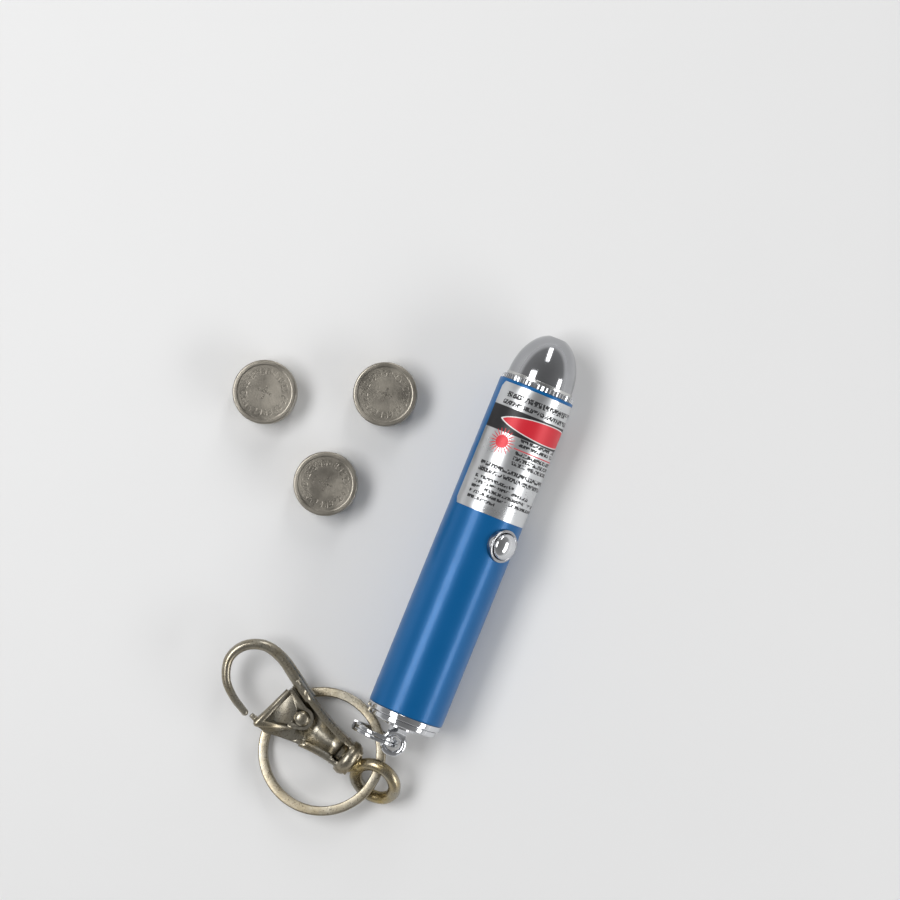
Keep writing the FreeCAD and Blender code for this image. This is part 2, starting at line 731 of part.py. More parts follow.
def body_plan(inset):
    """The clasp body's plan: narrow at the swivel, flaring to the mouth."""
    left = side_curve(CLASP_LEFT, -inset)
    right = side_curve(CLASP_RIGHT, inset)
    back = Part.makeLine(left.StartPoint, right.StartPoint)
    mouth = Part.makeLine(left.EndPoint, right.EndPoint)
    edges = [left.toShape(), mouth, right.toShape(), back]
    return Part.Face(Part.Wire(Part.__sortEdges__(edges)))


def clasp_hook():
    """A tapering round wire that leaves the full rail, rounds the eye and ends by the trigger's beak."""
    line = Part.BSplineCurve()
    line.interpolate([FreeCAD.Vector(u, v, 0) for u, v in HOOK_LINE])
    rings = []
    for i in range(HOOK_STATIONS):
        share = i / (HOOK_STATIONS - 1)
        at = line.FirstParameter + (line.LastParameter - line.FirstParameter) * share
        radius = HOOK_ROOT_R + (HOOK_TIP_R - HOOK_ROOT_R) * share
        circle = Part.Wire(Part.makeCircle(radius))
        turn = FreeCAD.Rotation(Z_AXIS, ORIGIN, line.tangent(at)[0], "ZXY")
        circle.Placement = FreeCAD.Placement(line.value(at), turn)
        rings.append(circle)
    return Part.makeLoft(rings, True, True).fuse(Part.makeSphere(HOOK_TIP_R, line.EndPoint))


def clasp_body():
    """A dished body with one full rail, a short one behind the trigger, a socket and the hook."""
    plate = body_plan(0).extrude(Z_AXIS * 2 * CLASP_HALF)
    plate.translate(Z_AXIS * -CLASP_HALF)
    curved = [e for e in plate.Edges if e.Curve.TypeId == "Part::GeomBSplineCurve"]
    plate = plate.makeFillet(CLASP_EDGE, curved)
    floor_top = CLASP_FLOOR - CLASP_HALF
    far = 4 * CLASP_HALF
    channel_back = -SOCKET_BACK + SOCKET_LEN
    pocket = body_plan(CLASP_RAIL).extrude(Z_AXIS * far)
    pocket.translate(Z_AXIS * floor_top)
    pocket = pocket.common(brick((channel_back, -far, floor_top), (far, far, far)))
    swing = brick((CLASP_SWING[0], CLASP_SWING[1], floor_top), (far, far, far))
    mouth = brick((CLASP_MOUTH[0], CLASP_MOUTH[1], floor_top), (far, far, far))
    plate = plate.cut(pocket).cut(swing).cut(mouth)
    bead_back = channel_back + SOCKET_GROOVE
    bead_front = channel_back + CLASP_RAIL
    socket = turned(
        [
            (-SOCKET_BACK, 0),
            (-SOCKET_BACK, SOCKET_MOUTH_R),
            (-SOCKET_BACK + SOCKET_LEN / 6, SOCKET_R - SOCKET_GROOVE),
            (-SOCKET_BACK + SOCKET_LEN / 2, SOCKET_R),
            (-SOCKET_BACK + 5 * SOCKET_LEN / 6, SOCKET_R - SOCKET_GROOVE / 2),
            (channel_back, SOCKET_BEAD_R - SOCKET_GROOVE),
            (bead_back, SOCKET_BEAD_R - SOCKET_GROOVE),
            (bead_back + SOCKET_GROOVE, SOCKET_BEAD_R),
            (bead_front - SOCKET_GROOVE, SOCKET_BEAD_R),
            (bead_front, SOCKET_BEAD_R - SOCKET_GROOVE),
            (bead_front, 0),
        ]
    )
    body = plate.fuse(socket).fuse(clasp_hook())
    room = shaft(SWIVEL_HEAD_R + SLIDE_GAP, channel_back, channel_back + SWIVEL_HEAD_H + 2 * SLIDE_GAP)
    body = body.cut(shaft(SWIVEL_POST_R + SEAT_GAP, -SOCKET_BACK, channel_back)).cut(room)
    well = brick((channel_back, -SWIVEL_HEAD_R, 0), (channel_back + CLASP_RAIL, SWIVEL_HEAD_R, far))
    body = body.cut(well).cut(disc(RIVET_R + GLUE_GAP, -CLASP_HALF, CLASP_HALF))
    return placed(body, CLASP_FRAME)


def trigger_top():
    return CLASP_FLOOR - CLASP_HALF + SLIDE_GAP + TRIGGER_THICK


def bar_between(start, end, radius, last_radius=None):
    """A round bar from start to end, tapered where a last radius is given."""
    run = end - start
    if last_radius is None:
        return Part.makeCylinder(radius, run.Length, start, run)
    return Part.makeCone(radius, last_radius, run.Length, start, run)


def clasp_trigger():
    """A lever on the rivet: hub, flared arm, a bar across the mouth and a beak at the hook's tip."""
    low = CLASP_FLOOR - CLASP_HALF + SLIDE_GAP
    high = trigger_top()
    hub = disc(TRIGGER_HUB_R, low, high)
    corners = [FreeCAD.Vector(u, v, low) for u, v in TRIGGER_ARM]
    arm = Part.Face(Part.makePolygon(corners + corners[:1])).extrude(Z_AXIS * TRIGGER_THICK)
    mid = (low + high) / 2
    upright = [e for e in arm.Edges if abs(e.CenterOfMass.z - mid) < NEAR]
    outer = [e for e in upright if e.CenterOfMass.x > TRIGGER_HUB_R]
    arm = arm.makeFillet(TRIGGER_EDGE, outer)
    radius = TRIGGER_BAR / 2
    heel, corner, root = [FreeCAD.Vector(u, v, high) for u, v in TRIGGER_BARS]
    beak_from, beak_to = [FreeCAD.Vector(u, v, 0) for u, v in TRIGGER_BEAK]
    lever = hub.fuse(
        [
            arm,
            bar_between(heel, corner, radius),
            bar_between(root, corner, radius),
            Part.makeSphere(radius, corner),
            bar_between(beak_from, beak_to, radius, TRIGGER_BAR / 3),
        ]
    )
    lever = lever.cut(disc(RIVET_R + SEAT_GAP, low, high))
    coil_r = RIVET_R + SLIDE_GAP + TORSION_WIRE + SLIDE_GAP + SEAT_GAP
    lever = lever.cut(disc(coil_r, low, low + TORSION_WIRE * TORSION_TURNS + 2 * SLIDE_GAP))
    return placed(lever.removeSplitter(), CLASP_FRAME)


def clasp_rivet():
    """A shank through body and trigger with a low domed head at the top."""
    head_foot = trigger_top() + SLIDE_GAP
    shank = disc(RIVET_R, -CLASP_HALF, head_foot)
    head = Part.makeCone(RIVET_HEAD_R, RIVET_R, RIVET_HEAD_H, FreeCAD.Vector(0, 0, head_foot))
    return placed(shank.fuse(head).removeSplitter(), CLASP_FRAME)


def trigger_spring():
    """Two flat turns round the rivet, in the counterbore under the trigger's hub."""
    foot = CLASP_FLOOR - CLASP_HALF + SLIDE_GAP / 2
    inner = RIVET_R + SLIDE_GAP
    turns = []
    for i in range(TORSION_TURNS):
        low = foot + i * (TORSION_WIRE + GLUE_GAP)
        turn = disc(inner + TORSION_WIRE, low, low + TORSION_WIRE)
        turns.append(turn.cut(disc(inner, low, low + TORSION_WIRE)))
    return placed(Part.makeCompound(turns), CLASP_FRAME)


# ---- button cells ----


def cell_can():
    """A shallow steel can, upside down, with a rounded rim and a plus on its flat face."""
    rim = CELL_H - CELL_EDGE
    outline = [(0, CELL_CAP_H + CELL_GASKET), (CELL_R, CELL_CAP_H + CELL_GASKET)]
    steps = 4
    for i in range(steps + 1):
        turn = math.radians(90 * i / steps)
        outline.append((CELL_R - CELL_EDGE * (1 - math.cos(turn)), rim + CELL_EDGE * math.sin(turn)))
    outline.append((0, CELL_H))
    can = turned_up(outline)
    arm = CELL_R / 5
    half = arm / 4
    top = CELL_H + CELL_MARK_H
    plus = brick((-arm, -half, CELL_H - CELL_MARK_H), (arm, half, top))
    plus = plus.fuse(brick((-half, -arm, CELL_H - CELL_MARK_H), (half, arm, top)))
    return can.fuse(plus).removeSplitter()


def cell_gasket():
    inner = CELL_CAP_R + GLUE_GAP
    low = CELL_CAP_H
    return disc(CELL_R - CELL_GASKET / 2, low, low + CELL_GASKET).cut(disc(inner, low, low + CELL_GASKET))


def cell_cap():
    """The small pole, which the cell lies on."""
    edge = CELL_GASKET / 2
    top = CELL_CAP_H + CELL_GASKET
    return turned_up([(0, 0), (CELL_CAP_R - edge, 0), (CELL_CAP_R, edge), (CELL_CAP_R, top), (0, top)])


def cells():
    """Each cell's three pieces, where it lies."""
    nodes = {}
    for number, (x, y) in enumerate(CELL_PLACES, 1):
        frame = FreeCAD.Placement(FreeCAD.Vector(x, y, FLOOR_Z), FreeCAD.Rotation())
        for name, make in (("can", cell_can), ("gasket", cell_gasket), ("cap", cell_cap)):
            nodes["cell_%d_%s" % (number, name)] = placed(make(), frame)
    return nodes


# ---- every node ----

MAKERS = (
    barrel_tube,
    barrel_label,
    button_collar,
    push_button,
    switch_body,
    switch_plunger,
    driver_board,
    driver_components,
    laser_module_housing,
    laser_diode,
    collimator_lens,
    lens_retainer,
    battery_sleeve,
    contact_spring,
    nose_ring,
    nose_cap,
    nose_window,
    end_cap,
    o_ring,
    tail_spring,
    cap_lug,
    small_split_ring,
    key_ring,
    swivel_eye,
    clasp_body,
    clasp_trigger,
    clasp_rivet,
    trigger_spring,
)

os.makedirs("parts", exist_ok=True)
for maker in MAKERS:
    export(maker.__name__, maker())
for node, solid in cells().items():
    export(node, solid)
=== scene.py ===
"""Dresses the keychain laser pointer, its rings, its snap clasp and its button cells."""

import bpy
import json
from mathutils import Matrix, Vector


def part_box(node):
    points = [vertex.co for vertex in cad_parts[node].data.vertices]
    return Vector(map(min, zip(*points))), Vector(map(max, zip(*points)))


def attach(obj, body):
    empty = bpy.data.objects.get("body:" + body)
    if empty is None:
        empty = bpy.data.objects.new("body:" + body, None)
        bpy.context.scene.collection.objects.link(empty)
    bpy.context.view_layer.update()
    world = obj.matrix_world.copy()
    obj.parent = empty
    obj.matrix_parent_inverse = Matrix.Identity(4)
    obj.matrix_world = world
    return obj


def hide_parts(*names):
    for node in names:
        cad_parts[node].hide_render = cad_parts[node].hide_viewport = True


bl_info = {
    "name": "Keychain laser pointer for cats",
    "version": (1, 0, 0),
    "blender": (4, 5, 0),
    "location": "View3D > Sidebar > Pointer",
    "description": "Builds the shown pieces and finishes of a pointer around its packed frame",
    "category": "Object",
}

import json
import math

import bmesh
import bpy
from mathutils import Matrix, Vector

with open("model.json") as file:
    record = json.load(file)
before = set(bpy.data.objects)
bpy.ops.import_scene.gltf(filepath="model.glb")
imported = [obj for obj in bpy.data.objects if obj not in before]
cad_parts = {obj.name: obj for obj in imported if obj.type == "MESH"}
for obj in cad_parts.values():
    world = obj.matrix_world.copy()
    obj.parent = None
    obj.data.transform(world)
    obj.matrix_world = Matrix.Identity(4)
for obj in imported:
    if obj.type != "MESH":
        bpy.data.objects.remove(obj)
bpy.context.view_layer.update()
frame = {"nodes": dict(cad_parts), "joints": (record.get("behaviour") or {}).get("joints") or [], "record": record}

# ---- places and sizes read from the frame ----

# The frame is in metres, and the sizes written here are in millimetres.
MM = 0.001
PER_MM = 1 / MM
UP = Vector((0, 0, 1))
QUARTER = math.pi / 2
JOINTS = {joint["name"]: joint for joint in frame["joints"]}
MOUNTS = {mount["name"]: mount for mount in frame["record"]["mounts"]}
BARREL_LOW, BARREL_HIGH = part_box("barrel_tube")
FRONT_X = BARREL_HIGH.x / MM
REAR_X = BARREL_LOW.x / MM
BARREL_R = -BARREL_LOW.z / MM
FLOOR_Z = BARREL_LOW.z
CELL_NAMES = ("cell_1", "cell_2", "cell_3")


def middle(node):
    """The centre of a node's box, in metres."""
    low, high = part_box(node)
    return (low + high) / 2


def axes_to_matrix(origin, x_axis, z_axis):
    """The matrix of a frame at origin whose X and Z point as given."""
    x_axis = Vector(x_axis).normalized()
    z_axis = Vector(z_axis).normalized()
    y_axis = z_axis.cross(x_axis)
    turn = Matrix((x_axis, y_axis, z_axis)).transposed().to_4x4()
    return Matrix.Translation(origin) @ turn


BARREL_MATRIX = Matrix.Translation((FRONT_X * MM, 0, 0))
BUTTON_OUT = -Vector(JOINTS["button_press"]["axis"])
BUTTON_MATRIX = axes_to_matrix((middle("push_button").x, 0, 0), (1, 0, 0), BUTTON_OUT)
KEY_RING_OUT = Vector(MOUNTS["key_ring_loop"]["axis"])
KEY_RING_MATRIX = axes_to_matrix(
    MOUNTS["key_ring_loop"]["pos_m"], KEY_RING_OUT.orthogonal(), KEY_RING_OUT
)
CLASP_MATRIX = axes_to_matrix(
    JOINTS["trigger_pull"]["pos_m"], JOINTS["clasp_spin"]["axis"], JOINTS["trigger_pull"]["axis"]
)


# ---- settings a user would change ----


def number(name, description, default, **options):
    return bpy.props.FloatProperty(name=name, description=description, default=default, **options)


def millimetres(name, description, default):
    return number(name, description, default, min=0)


def colour(name, description, default):
    return bpy.props.FloatVectorProperty(
        name=name, description=description, default=default, size=3, min=0, max=1, subtype="COLOR"
    )


class BarrelSettings(bpy.types.PropertyGroup):
    lacquer: colour("Lacquer", "Colour of the barrel's lacquer", (0.001, 0.105, 0.30))
    foil: colour("Foil", "Colour of the label's bare foil", (0.60, 0.61, 0.62))
    band: colour("Band", "Colour of the label's dark band", (0.012, 0.012, 0.014))
    accent: colour("Accent", "Colour of the label's bar, dot and rule", (0.62, 0.015, 0.03))
    ink: colour("Ink", "Colour of the label's fine ruled lines", (0.018, 0.018, 0.02))
    edge: millimetres("Rim edge, mm", "Radius of the barrel's rims", 0.25)
    label_front: millimetres("Label place, mm", "From the barrel's front end to the label", 0.6)
    label_length: millimetres("Label length, mm", "Along the barrel", 23.3)
    label_thick: millimetres("Label thickness, mm", "Thickness of the foil", 0.06)
    band_from: millimetres("Band place, mm", "From the barrel's front end to the dark band", 4.8)
    band_width: millimetres("Band width, mm", "Width of the dark band along the barrel", 4.4)


class MetalSettings(bpy.types.PropertyGroup):
    chrome: colour("Chrome", "Tint of the bright chrome", (0.66, 0.67, 0.69))
    # The nose and the button's collar are chrome like the rest; this darker tint is painted shade, for the dark
    # reflection on the nose and the shaded groove round the button.
    dark_chrome: colour("Chrome painted darker", "Tint of the nose", (0.42, 0.425, 0.44))
    nickel: colour("Nickel", "Tint of the clasp and the large ring", (0.335, 0.31, 0.255))
    cell_steel: colour("Cell steel", "Tint of the button cells", (0.26, 0.24, 0.205))
    brass: colour("Brass", "Tint of the laser module", (0.62, 0.44, 0.19))


class RingSettings(bpy.types.PropertyGroup):
    key_ring_r: millimetres("Large ring radius, mm", "Outer radius of the large split ring", 11.6)
    key_ring_wire: millimetres("Large ring wire, mm", "Width of the large ring's wire", 1.7)
    key_ring_turn: millimetres("Large ring turn, mm", "Height of one turn of the large ring", 0.8)
    small_ring_r: millimetres("Small ring radius, mm", "Outer radius of the small split ring", 4.6)
    small_ring_wire: millimetres("Small ring wire, mm", "Width of the small ring's wire", 0.8)
    small_ring_turn: millimetres("Small ring turn, mm", "Height of one turn of the small ring", 0.7)
    small_ring_heading: number("Small ring heading, degrees", "Way it points from the lug", 88.0)
    turn_gap: millimetres("Gap between turns, mm", "Between a split ring's two turns", 0.06)
    ramp: number("Ramp, degrees", "Stretch over which the wire steps to its next turn", 26.0)


class StageSettings(bpy.types.PropertyGroup):
    floor: colour("Floor", "Colour of the floor", (0.80, 0.80, 0.80))
    aim_x: number("Aim X", "Where the camera looks", 0.0337, unit="LENGTH")
    aim_y: number("Aim Y", "Where the camera looks", 0.0104, unit="LENGTH")
    width: number("Width", "Width seen at the barrel", 0.1616, unit="LENGTH")
    lens: millimetres("Lens, mm", "Focal length", 120.0)
    roll: number("Roll, degrees", "Turn of the camera about its view", -67.86)


SETTINGS = {
    "pointer_barrel": BarrelSettings,
    "pointer_metal": MetalSettings,
    "pointer_rings": RingSettings,
    "pointer_stage": StageSettings,
}


def settings(name):
    return getattr(bpy.context.scene, name)


# ---- node trees, for finishes and for geometry ----


class Wire:
    """A node's output socket, on which arithmetic adds Math nodes."""

    def __init__(self, tree, socket):
        self.tree = tree
        self.socket = socket

    def math(self, operation, *others):
        return self.tree.add("ShaderNodeMath", {"operation": operation}, self, *others)

    def __add__(self, other):
        return self.math("ADD", other)

    __radd__ = __add__

    def __mul__(self, other):
        return self.math("MULTIPLY", other)

    __rmul__ = __mul__

    def __sub__(self, other):
        return self.math("SUBTRACT", other)

    def __rsub__(self, other):
        return self.tree.add("ShaderNodeMath", {"operation": "SUBTRACT"}, other, self)

    def __truediv__(self, other):
        return self.math("DIVIDE", other)


class Tree:
    """Adds nodes to a node tree: one call for any type, its settings and its sockets."""

    def __init__(self, tree):
        self.tree = tree

    def node(self, kind, options=None, *values, **named):
        """The node itself. Values go to its inputs in order, and named ones by input name."""
        node = self.tree.nodes.new(kind)
        for option, value in (options or {}).items():
            if option == "stops":
                ramp = node.color_ramp
                while len(ramp.elements) < len(value):
                    ramp.elements.new(0.5)
                for element, (place, grey) in zip(ramp.elements, value):
                    element.position = place
                    element.color = (grey, grey, grey, 1)
            else:
                setattr(node, option, value)
        for index, value in enumerate(values):
            self.feed(node.inputs[index], value)
        self.set(node, **named)
        return node

    def add(self, kind, options=None, *values, output=0, **named):
        return Wire(self, self.node(kind, options, *values, **named).outputs[output])

    def set(self, node, **named):
        """Feeds a node's inputs by name, with _ for a space."""
        for name, value in named.items():
            self.feed(node.inputs[name.replace("_", " ")], value)

    def feed(self, socket, value):
        if isinstance(value, Wire):
            self.tree.links.new(value.socket, socket)
        elif value is not None:
            if hasattr(value, "__len__") and hasattr(socket.default_value, "__len__"):
                if len(value) < len(socket.default_value):
                    value = (*value, 1.0)
            socket.default_value = value

    # shader shorthands

    def noise(self, scale, detail=3.0, at=None, rough=0.5):
        return self.add(
            "ShaderNodeTexNoise",
            Vector=at or self.place(),
            Scale=scale,
            Detail=detail,
            Roughness=rough,
        )

    def place(self):
        return self.add("ShaderNodeTexCoord", output="Object")

    def stretched(self, scale):
        """Object coordinates, scaled differently along each axis."""
        return self.add("ShaderNodeMapping", Vector=self.place(), Scale=scale)

    def mapped(self, value, low, high, to_low=0.0, to_high=1.0):
        return self.add("ShaderNodeMapRange", {"clamp": True}, value, low, high, to_low, to_high)

    def mixed(self, factor, first, second):
        node = self.node("ShaderNodeMix", {"data_type": "RGBA"})
        self.feed(node.inputs["Factor"], factor)
        for socket, value in zip([s for s in node.inputs if s.type == "RGBA"], (first, second)):
            self.feed(socket, value)
        return Wire(self, [s for s in node.outputs if s.type == "RGBA"][0])

    def bump(self, height, strength, distance):
        return self.add("ShaderNodeBump", Strength=strength, Distance=distance, Height=height)


COAT_ROUGHNESS = 0.05


class Finish(Tree):
    """A new material's tree, with its Principled node and the constants that it starts from."""

    def __init__(self, name, metallic, roughness, **constants):
        self.material = bpy.data.materials.new(name)
        self.material.use_nodes = True
        super().__init__(self.material.node_tree)
        self.tree.nodes.clear()
        self.surface = self.node(
            "ShaderNodeBsdfPrincipled",
            Metallic=metallic,
            Roughness=roughness,
            Coat_Roughness=COAT_ROUGHNESS,
            **constants,
        )
        self.node("ShaderNodeOutputMaterial", None, Wire(self, self.surface.outputs[0]))

    def done(self, **named):
        """The material, once what varies over its surface is fed."""
        self.set(self.surface, **named)
        return self.material


def tinted(shade, factor):
    return tuple(min(1.0, c * factor) for c in shade)


# ---- finishes ----


def polished_metal(name, tint, roughness, smudge=0.06, pits=0.0):
    """Plated metal: soft smudges in the gloss, faint hairlines, and a few pits."""
    tree = Finish(name, 1.0, roughness)
    cloud = tree.noise(0.35 * PER_MM, 4.0)
    hair = tree.noise(1.0, 2.0, tree.stretched((0.4 * PER_MM, 6 * PER_MM, 6 * PER_MM)))
    height = hair * 0.3
    if pits:
        height = height - tree.mapped(tree.noise(2.2 * PER_MM, 1.0), 0.66, 0.72) * pits
    return tree.done(
        Base_Color=tree.mixed(cloud, tinted(tint, 0.86), tinted(tint, 1.08)),
        Roughness=tree.mapped(cloud, 0.35, 0.7, roughness, roughness + smudge),
        Normal=tree.bump(height, 0.12, 0.02 * MM),
    )


def satin_metal(name, tint, warm, roughness):
    """Cast and tumbled metal: uneven plating, a warmer tone in patches, and a soft grain."""
    tree = Finish(name, 1.0, roughness)
    patches = tree.mapped(tree.noise(0.16 * PER_MM, 5.0), 0.4, 0.62)
    grain = tree.noise(3.0 * PER_MM, 4.0, rough=0.65)
    worn = tree.mapped(tree.noise(0.7 * PER_MM, 3.0), 0.5, 0.75)
    waves = tree.noise(0.55 * PER_MM, 2.0)
    base = tree.mixed(patches, tint, warm)
    return tree.done(
        Base_Color=tree.mixed(worn * 0.5, base, tinted(tint, 1.25)),
        Roughness=tree.mapped(grain, 0.3, 0.7, roughness - 0.07, roughness + 0.1),
        Normal=tree.bump(grain * 0.08 + waves, 0.35, 0.08 * MM),
    )


def lacquer():
    """Deep blue lacquer over bright metal: very fine flakes under a clear coat."""
    shade = settings("pointer_barrel").lacquer
    tree = Finish("blue_lacquer", 0.2, 0.33, Coat_Weight=0.1, Specular_IOR_Level=0.3)
    flakes = tree.mapped(tree.noise(14 * PER_MM, 1.0), 0.5, 0.8)
    fade = tree.noise(0.03 * PER_MM, 1.0)
    base = tree.mixed(fade, tinted(shade, 0.96), tinted(shade, 1.05))
    return tree.done(
        Base_Color=tree.mixed(flakes * 0.2, base, tinted(shade, 1.6)),
        Roughness=tree.mapped(tree.noise(0.2 * PER_MM, 3.0), 0.3, 0.7, 0.31, 0.37),
    )


def moulded(name, shade, roughness=0.5):
    """Moulded plastic with a faint grain and a little variation of tone."""
    tree = Finish(name, 0.0, roughness)
    grain = tree.noise(2.5 * PER_MM, 3.0)
    return tree.done(
        Base_Color=tree.mixed(grain, tinted(shade, 0.82), tinted(shade, 1.15)),
        Roughness=tree.mapped(grain, 0.3, 0.7, roughness - 0.08, roughness + 0.1),
        Normal=tree.bump(grain, 0.2, 0.03 * MM),
    )


def clear_glass():
    """Clear glass with a little dust."""
    tree = Finish("lens_glass", 0.0, 0.03, IOR=1.49, Transmission_Weight=0.9)
    dust = tree.mapped(tree.noise(1.5 * PER_MM, 3.0), 0.55, 0.85)
    return tree.done(
        Base_Color=tree.mixed(dust, (0.92, 0.94, 0.95), (0.78, 0.8, 0.81)),
        Roughness=dust * 0.06 + 0.02,
    )


def board_finish():
    """Green solder mask with tracks that show as slightly lighter lines."""
    tree = Finish("board_green", 0.0, 0.35, Coat_Weight=0.3)
    place = tree.stretched((PER_MM, PER_MM, PER_MM))
    tracks = tree.add("ShaderNodeTexBrick", output="Fac", Vector=place, Scale=0.35)
    return tree.done(
        Base_Color=tree.mixed(tracks, (0.012, 0.11, 0.04), (0.05, 0.22, 0.08)),
        Roughness=tree.mapped(tree.noise(1.2 * PER_MM), 0.3, 0.7, 0.28, 0.42),
        Normal=tree.bump(tracks, 0.3, 0.03 * MM),
    )


# The cells' UV runs CELL_ROUND once round in X, and is the radius in millimetres in Y.
CELL_ROUND = 36.0
CELL_BRIGHT_RIM = (5.1, 5.65)
STAMP_R = 3.75
STAMP_HALF = 0.6
STAMP_SOFT = 0.08
STAMP_PITCH = 1.5
GLYPH_HALF = (0.36, 0.31)


def cell_face(tint):
    """Drawn steel: fine turning marks, duller patches, a brighter band towards the rim and round the side, and a
    ring of stamps.
    """
    tree = Finish("cell_steel", 1.0, 0.34)
    place = tree.add("ShaderNodeUVMap", {"uv_map": "UVMap"})
    parts = tree.node("ShaderNodeSeparateXYZ", None, place)
    radius = Wire(tree, parts.outputs["Y"])
    wave = {"wave_type": "BANDS", "bands_direction": "Y"}
    marks = tree.add("ShaderNodeTexWave", wave, Vector=place, Scale=2.2, Distortion=1.5, Detail=2.0)
    cloud = tree.mapped(tree.noise(0.22 * PER_MM, 5.0), 0.35, 0.68)
    # Brighter towards the rim and round the side, set by radius alone.
    edge = tree.mapped(radius, *CELL_BRIGHT_RIM)
    off_ring = (radius - STAMP_R).math("ABSOLUTE")
    ring = tree.mapped(off_ring, STAMP_HALF, STAMP_HALF - STAMP_SOFT)
    share = (Wire(tree, parts.outputs["X"]) / STAMP_PITCH).math("FRACT")
    glyph = tree.mapped((share - 0.5).math("ABSOLUTE"), *GLYPH_HALF)
    stamp = tree.mapped(tree.noise(2.1, 0.0, place), 0.47, 0.5) * ring * glyph
    base = tree.mixed(cloud, tinted(tint, 0.78), tinted(tint, 1.12))
    base = tree.mixed(stamp * 0.3, base, tinted(tint, 0.5))
    height = marks * 0.25 + tree.noise(1.3 * PER_MM, 4.0) * 0.6 - stamp * 1.2
    return tree.done(
        Base_Color=tree.mixed(edge * 0.6, base, tinted(tint, 1.5)),
        Roughness=tree.mapped(cloud, 0.0, 1.0, 0.3, 0.44),
        Normal=tree.bump(height, 0.3, 0.06 * MM),
    )


class Mask:
    """Soft-edged shapes on the label, in millimetres: u from its front edge, v from its middle."""

    SOFT = 0.05
    LEAF_POWER = 0.7
    RAY_HALF = 0.1

    def __init__(self, tree):
        self.tree = tree
        place = tree.add("ShaderNodeUVMap", {"uv_map": "UVMap"})
        parts = tree.node("ShaderNodeSeparateXYZ", None, place)
        self.u = Wire(tree, parts.outputs["X"])
        self.v = Wire(tree, parts.outputs["Y"])

    def inside(self, distance):
        """1 where the signed distance is below zero."""
        return self.tree.mapped(distance, -self.SOFT, self.SOFT, 1.0, 0.0)

    def strip(self, value, low, high):
        """1 where the value lies between the two."""
        return self.inside((value - (low + high) / 2).math("ABSOLUTE") - (high - low) / 2)

    def box(self, u_low, u_high, v_low, v_high):
        return self.strip(self.u, u_low, u_high) * self.strip(self.v, v_low, v_high)

    def leaf(self, u, v_low, v_high, half):
        """A long oval that narrows to its ends."""
        share = (self.v - (v_low + v_high) / 2) / ((v_high - v_low) / 2)
        bulge = (1.0 - share * share).math("MAXIMUM", 0.0).math("POWER", self.LEAF_POWER)
        return self.inside((self.u - u).math("ABSOLUTE") - bulge * half + 2 * self.SOFT)

    def reach(self, u, v):
        """The distance from a point."""
        across = self.u - u
        along = self.v - v
        return (across * across + along * along).math("SQRT")

    def ring(self, u, v, inner, outer):
        return self.strip(self.reach(u, v), inner, outer)

    def spokes(self, u, v, inner, outer, count):
        """Rays that narrow outwards about a point."""
        turn = (self.u - u).math("ARCTAN2", self.v - v)
        taper = (self.reach(u, v) - inner) * (self.RAY_HALF / (outer - inner))
        rays = self.inside((turn * count).math("SINE") * self.RAY_HALF + taper)
        return self.ring(u, v, inner, outer) * rays

    def scaled(self, along, across):
        """The label's coordinates, stretched, for the grain of the print."""
        return self.tree.add("ShaderNodeCombineXYZ", None, self.u * along, self.v * across)


# The print. PRINT_LINES holds (half height, v from, ((u, v to), ...)).
FOIL_METALLIC = 0.9
LABEL_WHITE = (0.75, 0.75, 0.74)
BAR_FROM = -9.1
BAR_TO = 11.3
BAR_HALF = 2.0
BAR_TRIM = 0.45
BAR_MARGIN = 0.16
DOT_U = 10.3
DOT_V = -7.1
DOT_R = 1.2
DOT_REACH = 2.45
DOT_SPOKES = 20
RULE_FROM_DOT = (0.25, 0.45)
RULE_TO = 9.0
PRINT_LINES = (
    (0.5, -9.7, ((1.95, 9.6),)),
    (0.4, -9.9, ((3.4, 8.2),)),
    (0.3, -4.1, ((8.95, 8.6), (9.8, 7.0))),
    (0.35, -4.1, ((11.3, 8.8), (12.25, 5.7), (13.2, 7.4))),
    (0.38, -9.5, ((14.9, 8.0), (16.05, 9.2))),
    (0.29, -9.5, ((17.45, -1.8), (18.4, 2.2), (19.35, 7.4), (20.3, 8.2), (21.3, -4.0))),
)


def ruled_lines(tree, mask):
    """The print's fine lines, broken up into strokes and words that say nothing."""
    lines = None
    for half, start, rows in PRINT_LINES:
        for u, end in rows:
            line = mask.box(u - half, u + half, start, end)
            lines = line if lines is None else lines.math("MAXIMUM", line)
    strokes = tree.mapped(tree.noise(1.0, 0.0, mask.scaled(2.0, 3.6)), 0.4, 0.45)
    words = tree.mapped(tree.noise(1.0, 0.0, mask.scaled(1.1, 0.75)), 0.33, 0.36)
    return lines * strokes * words


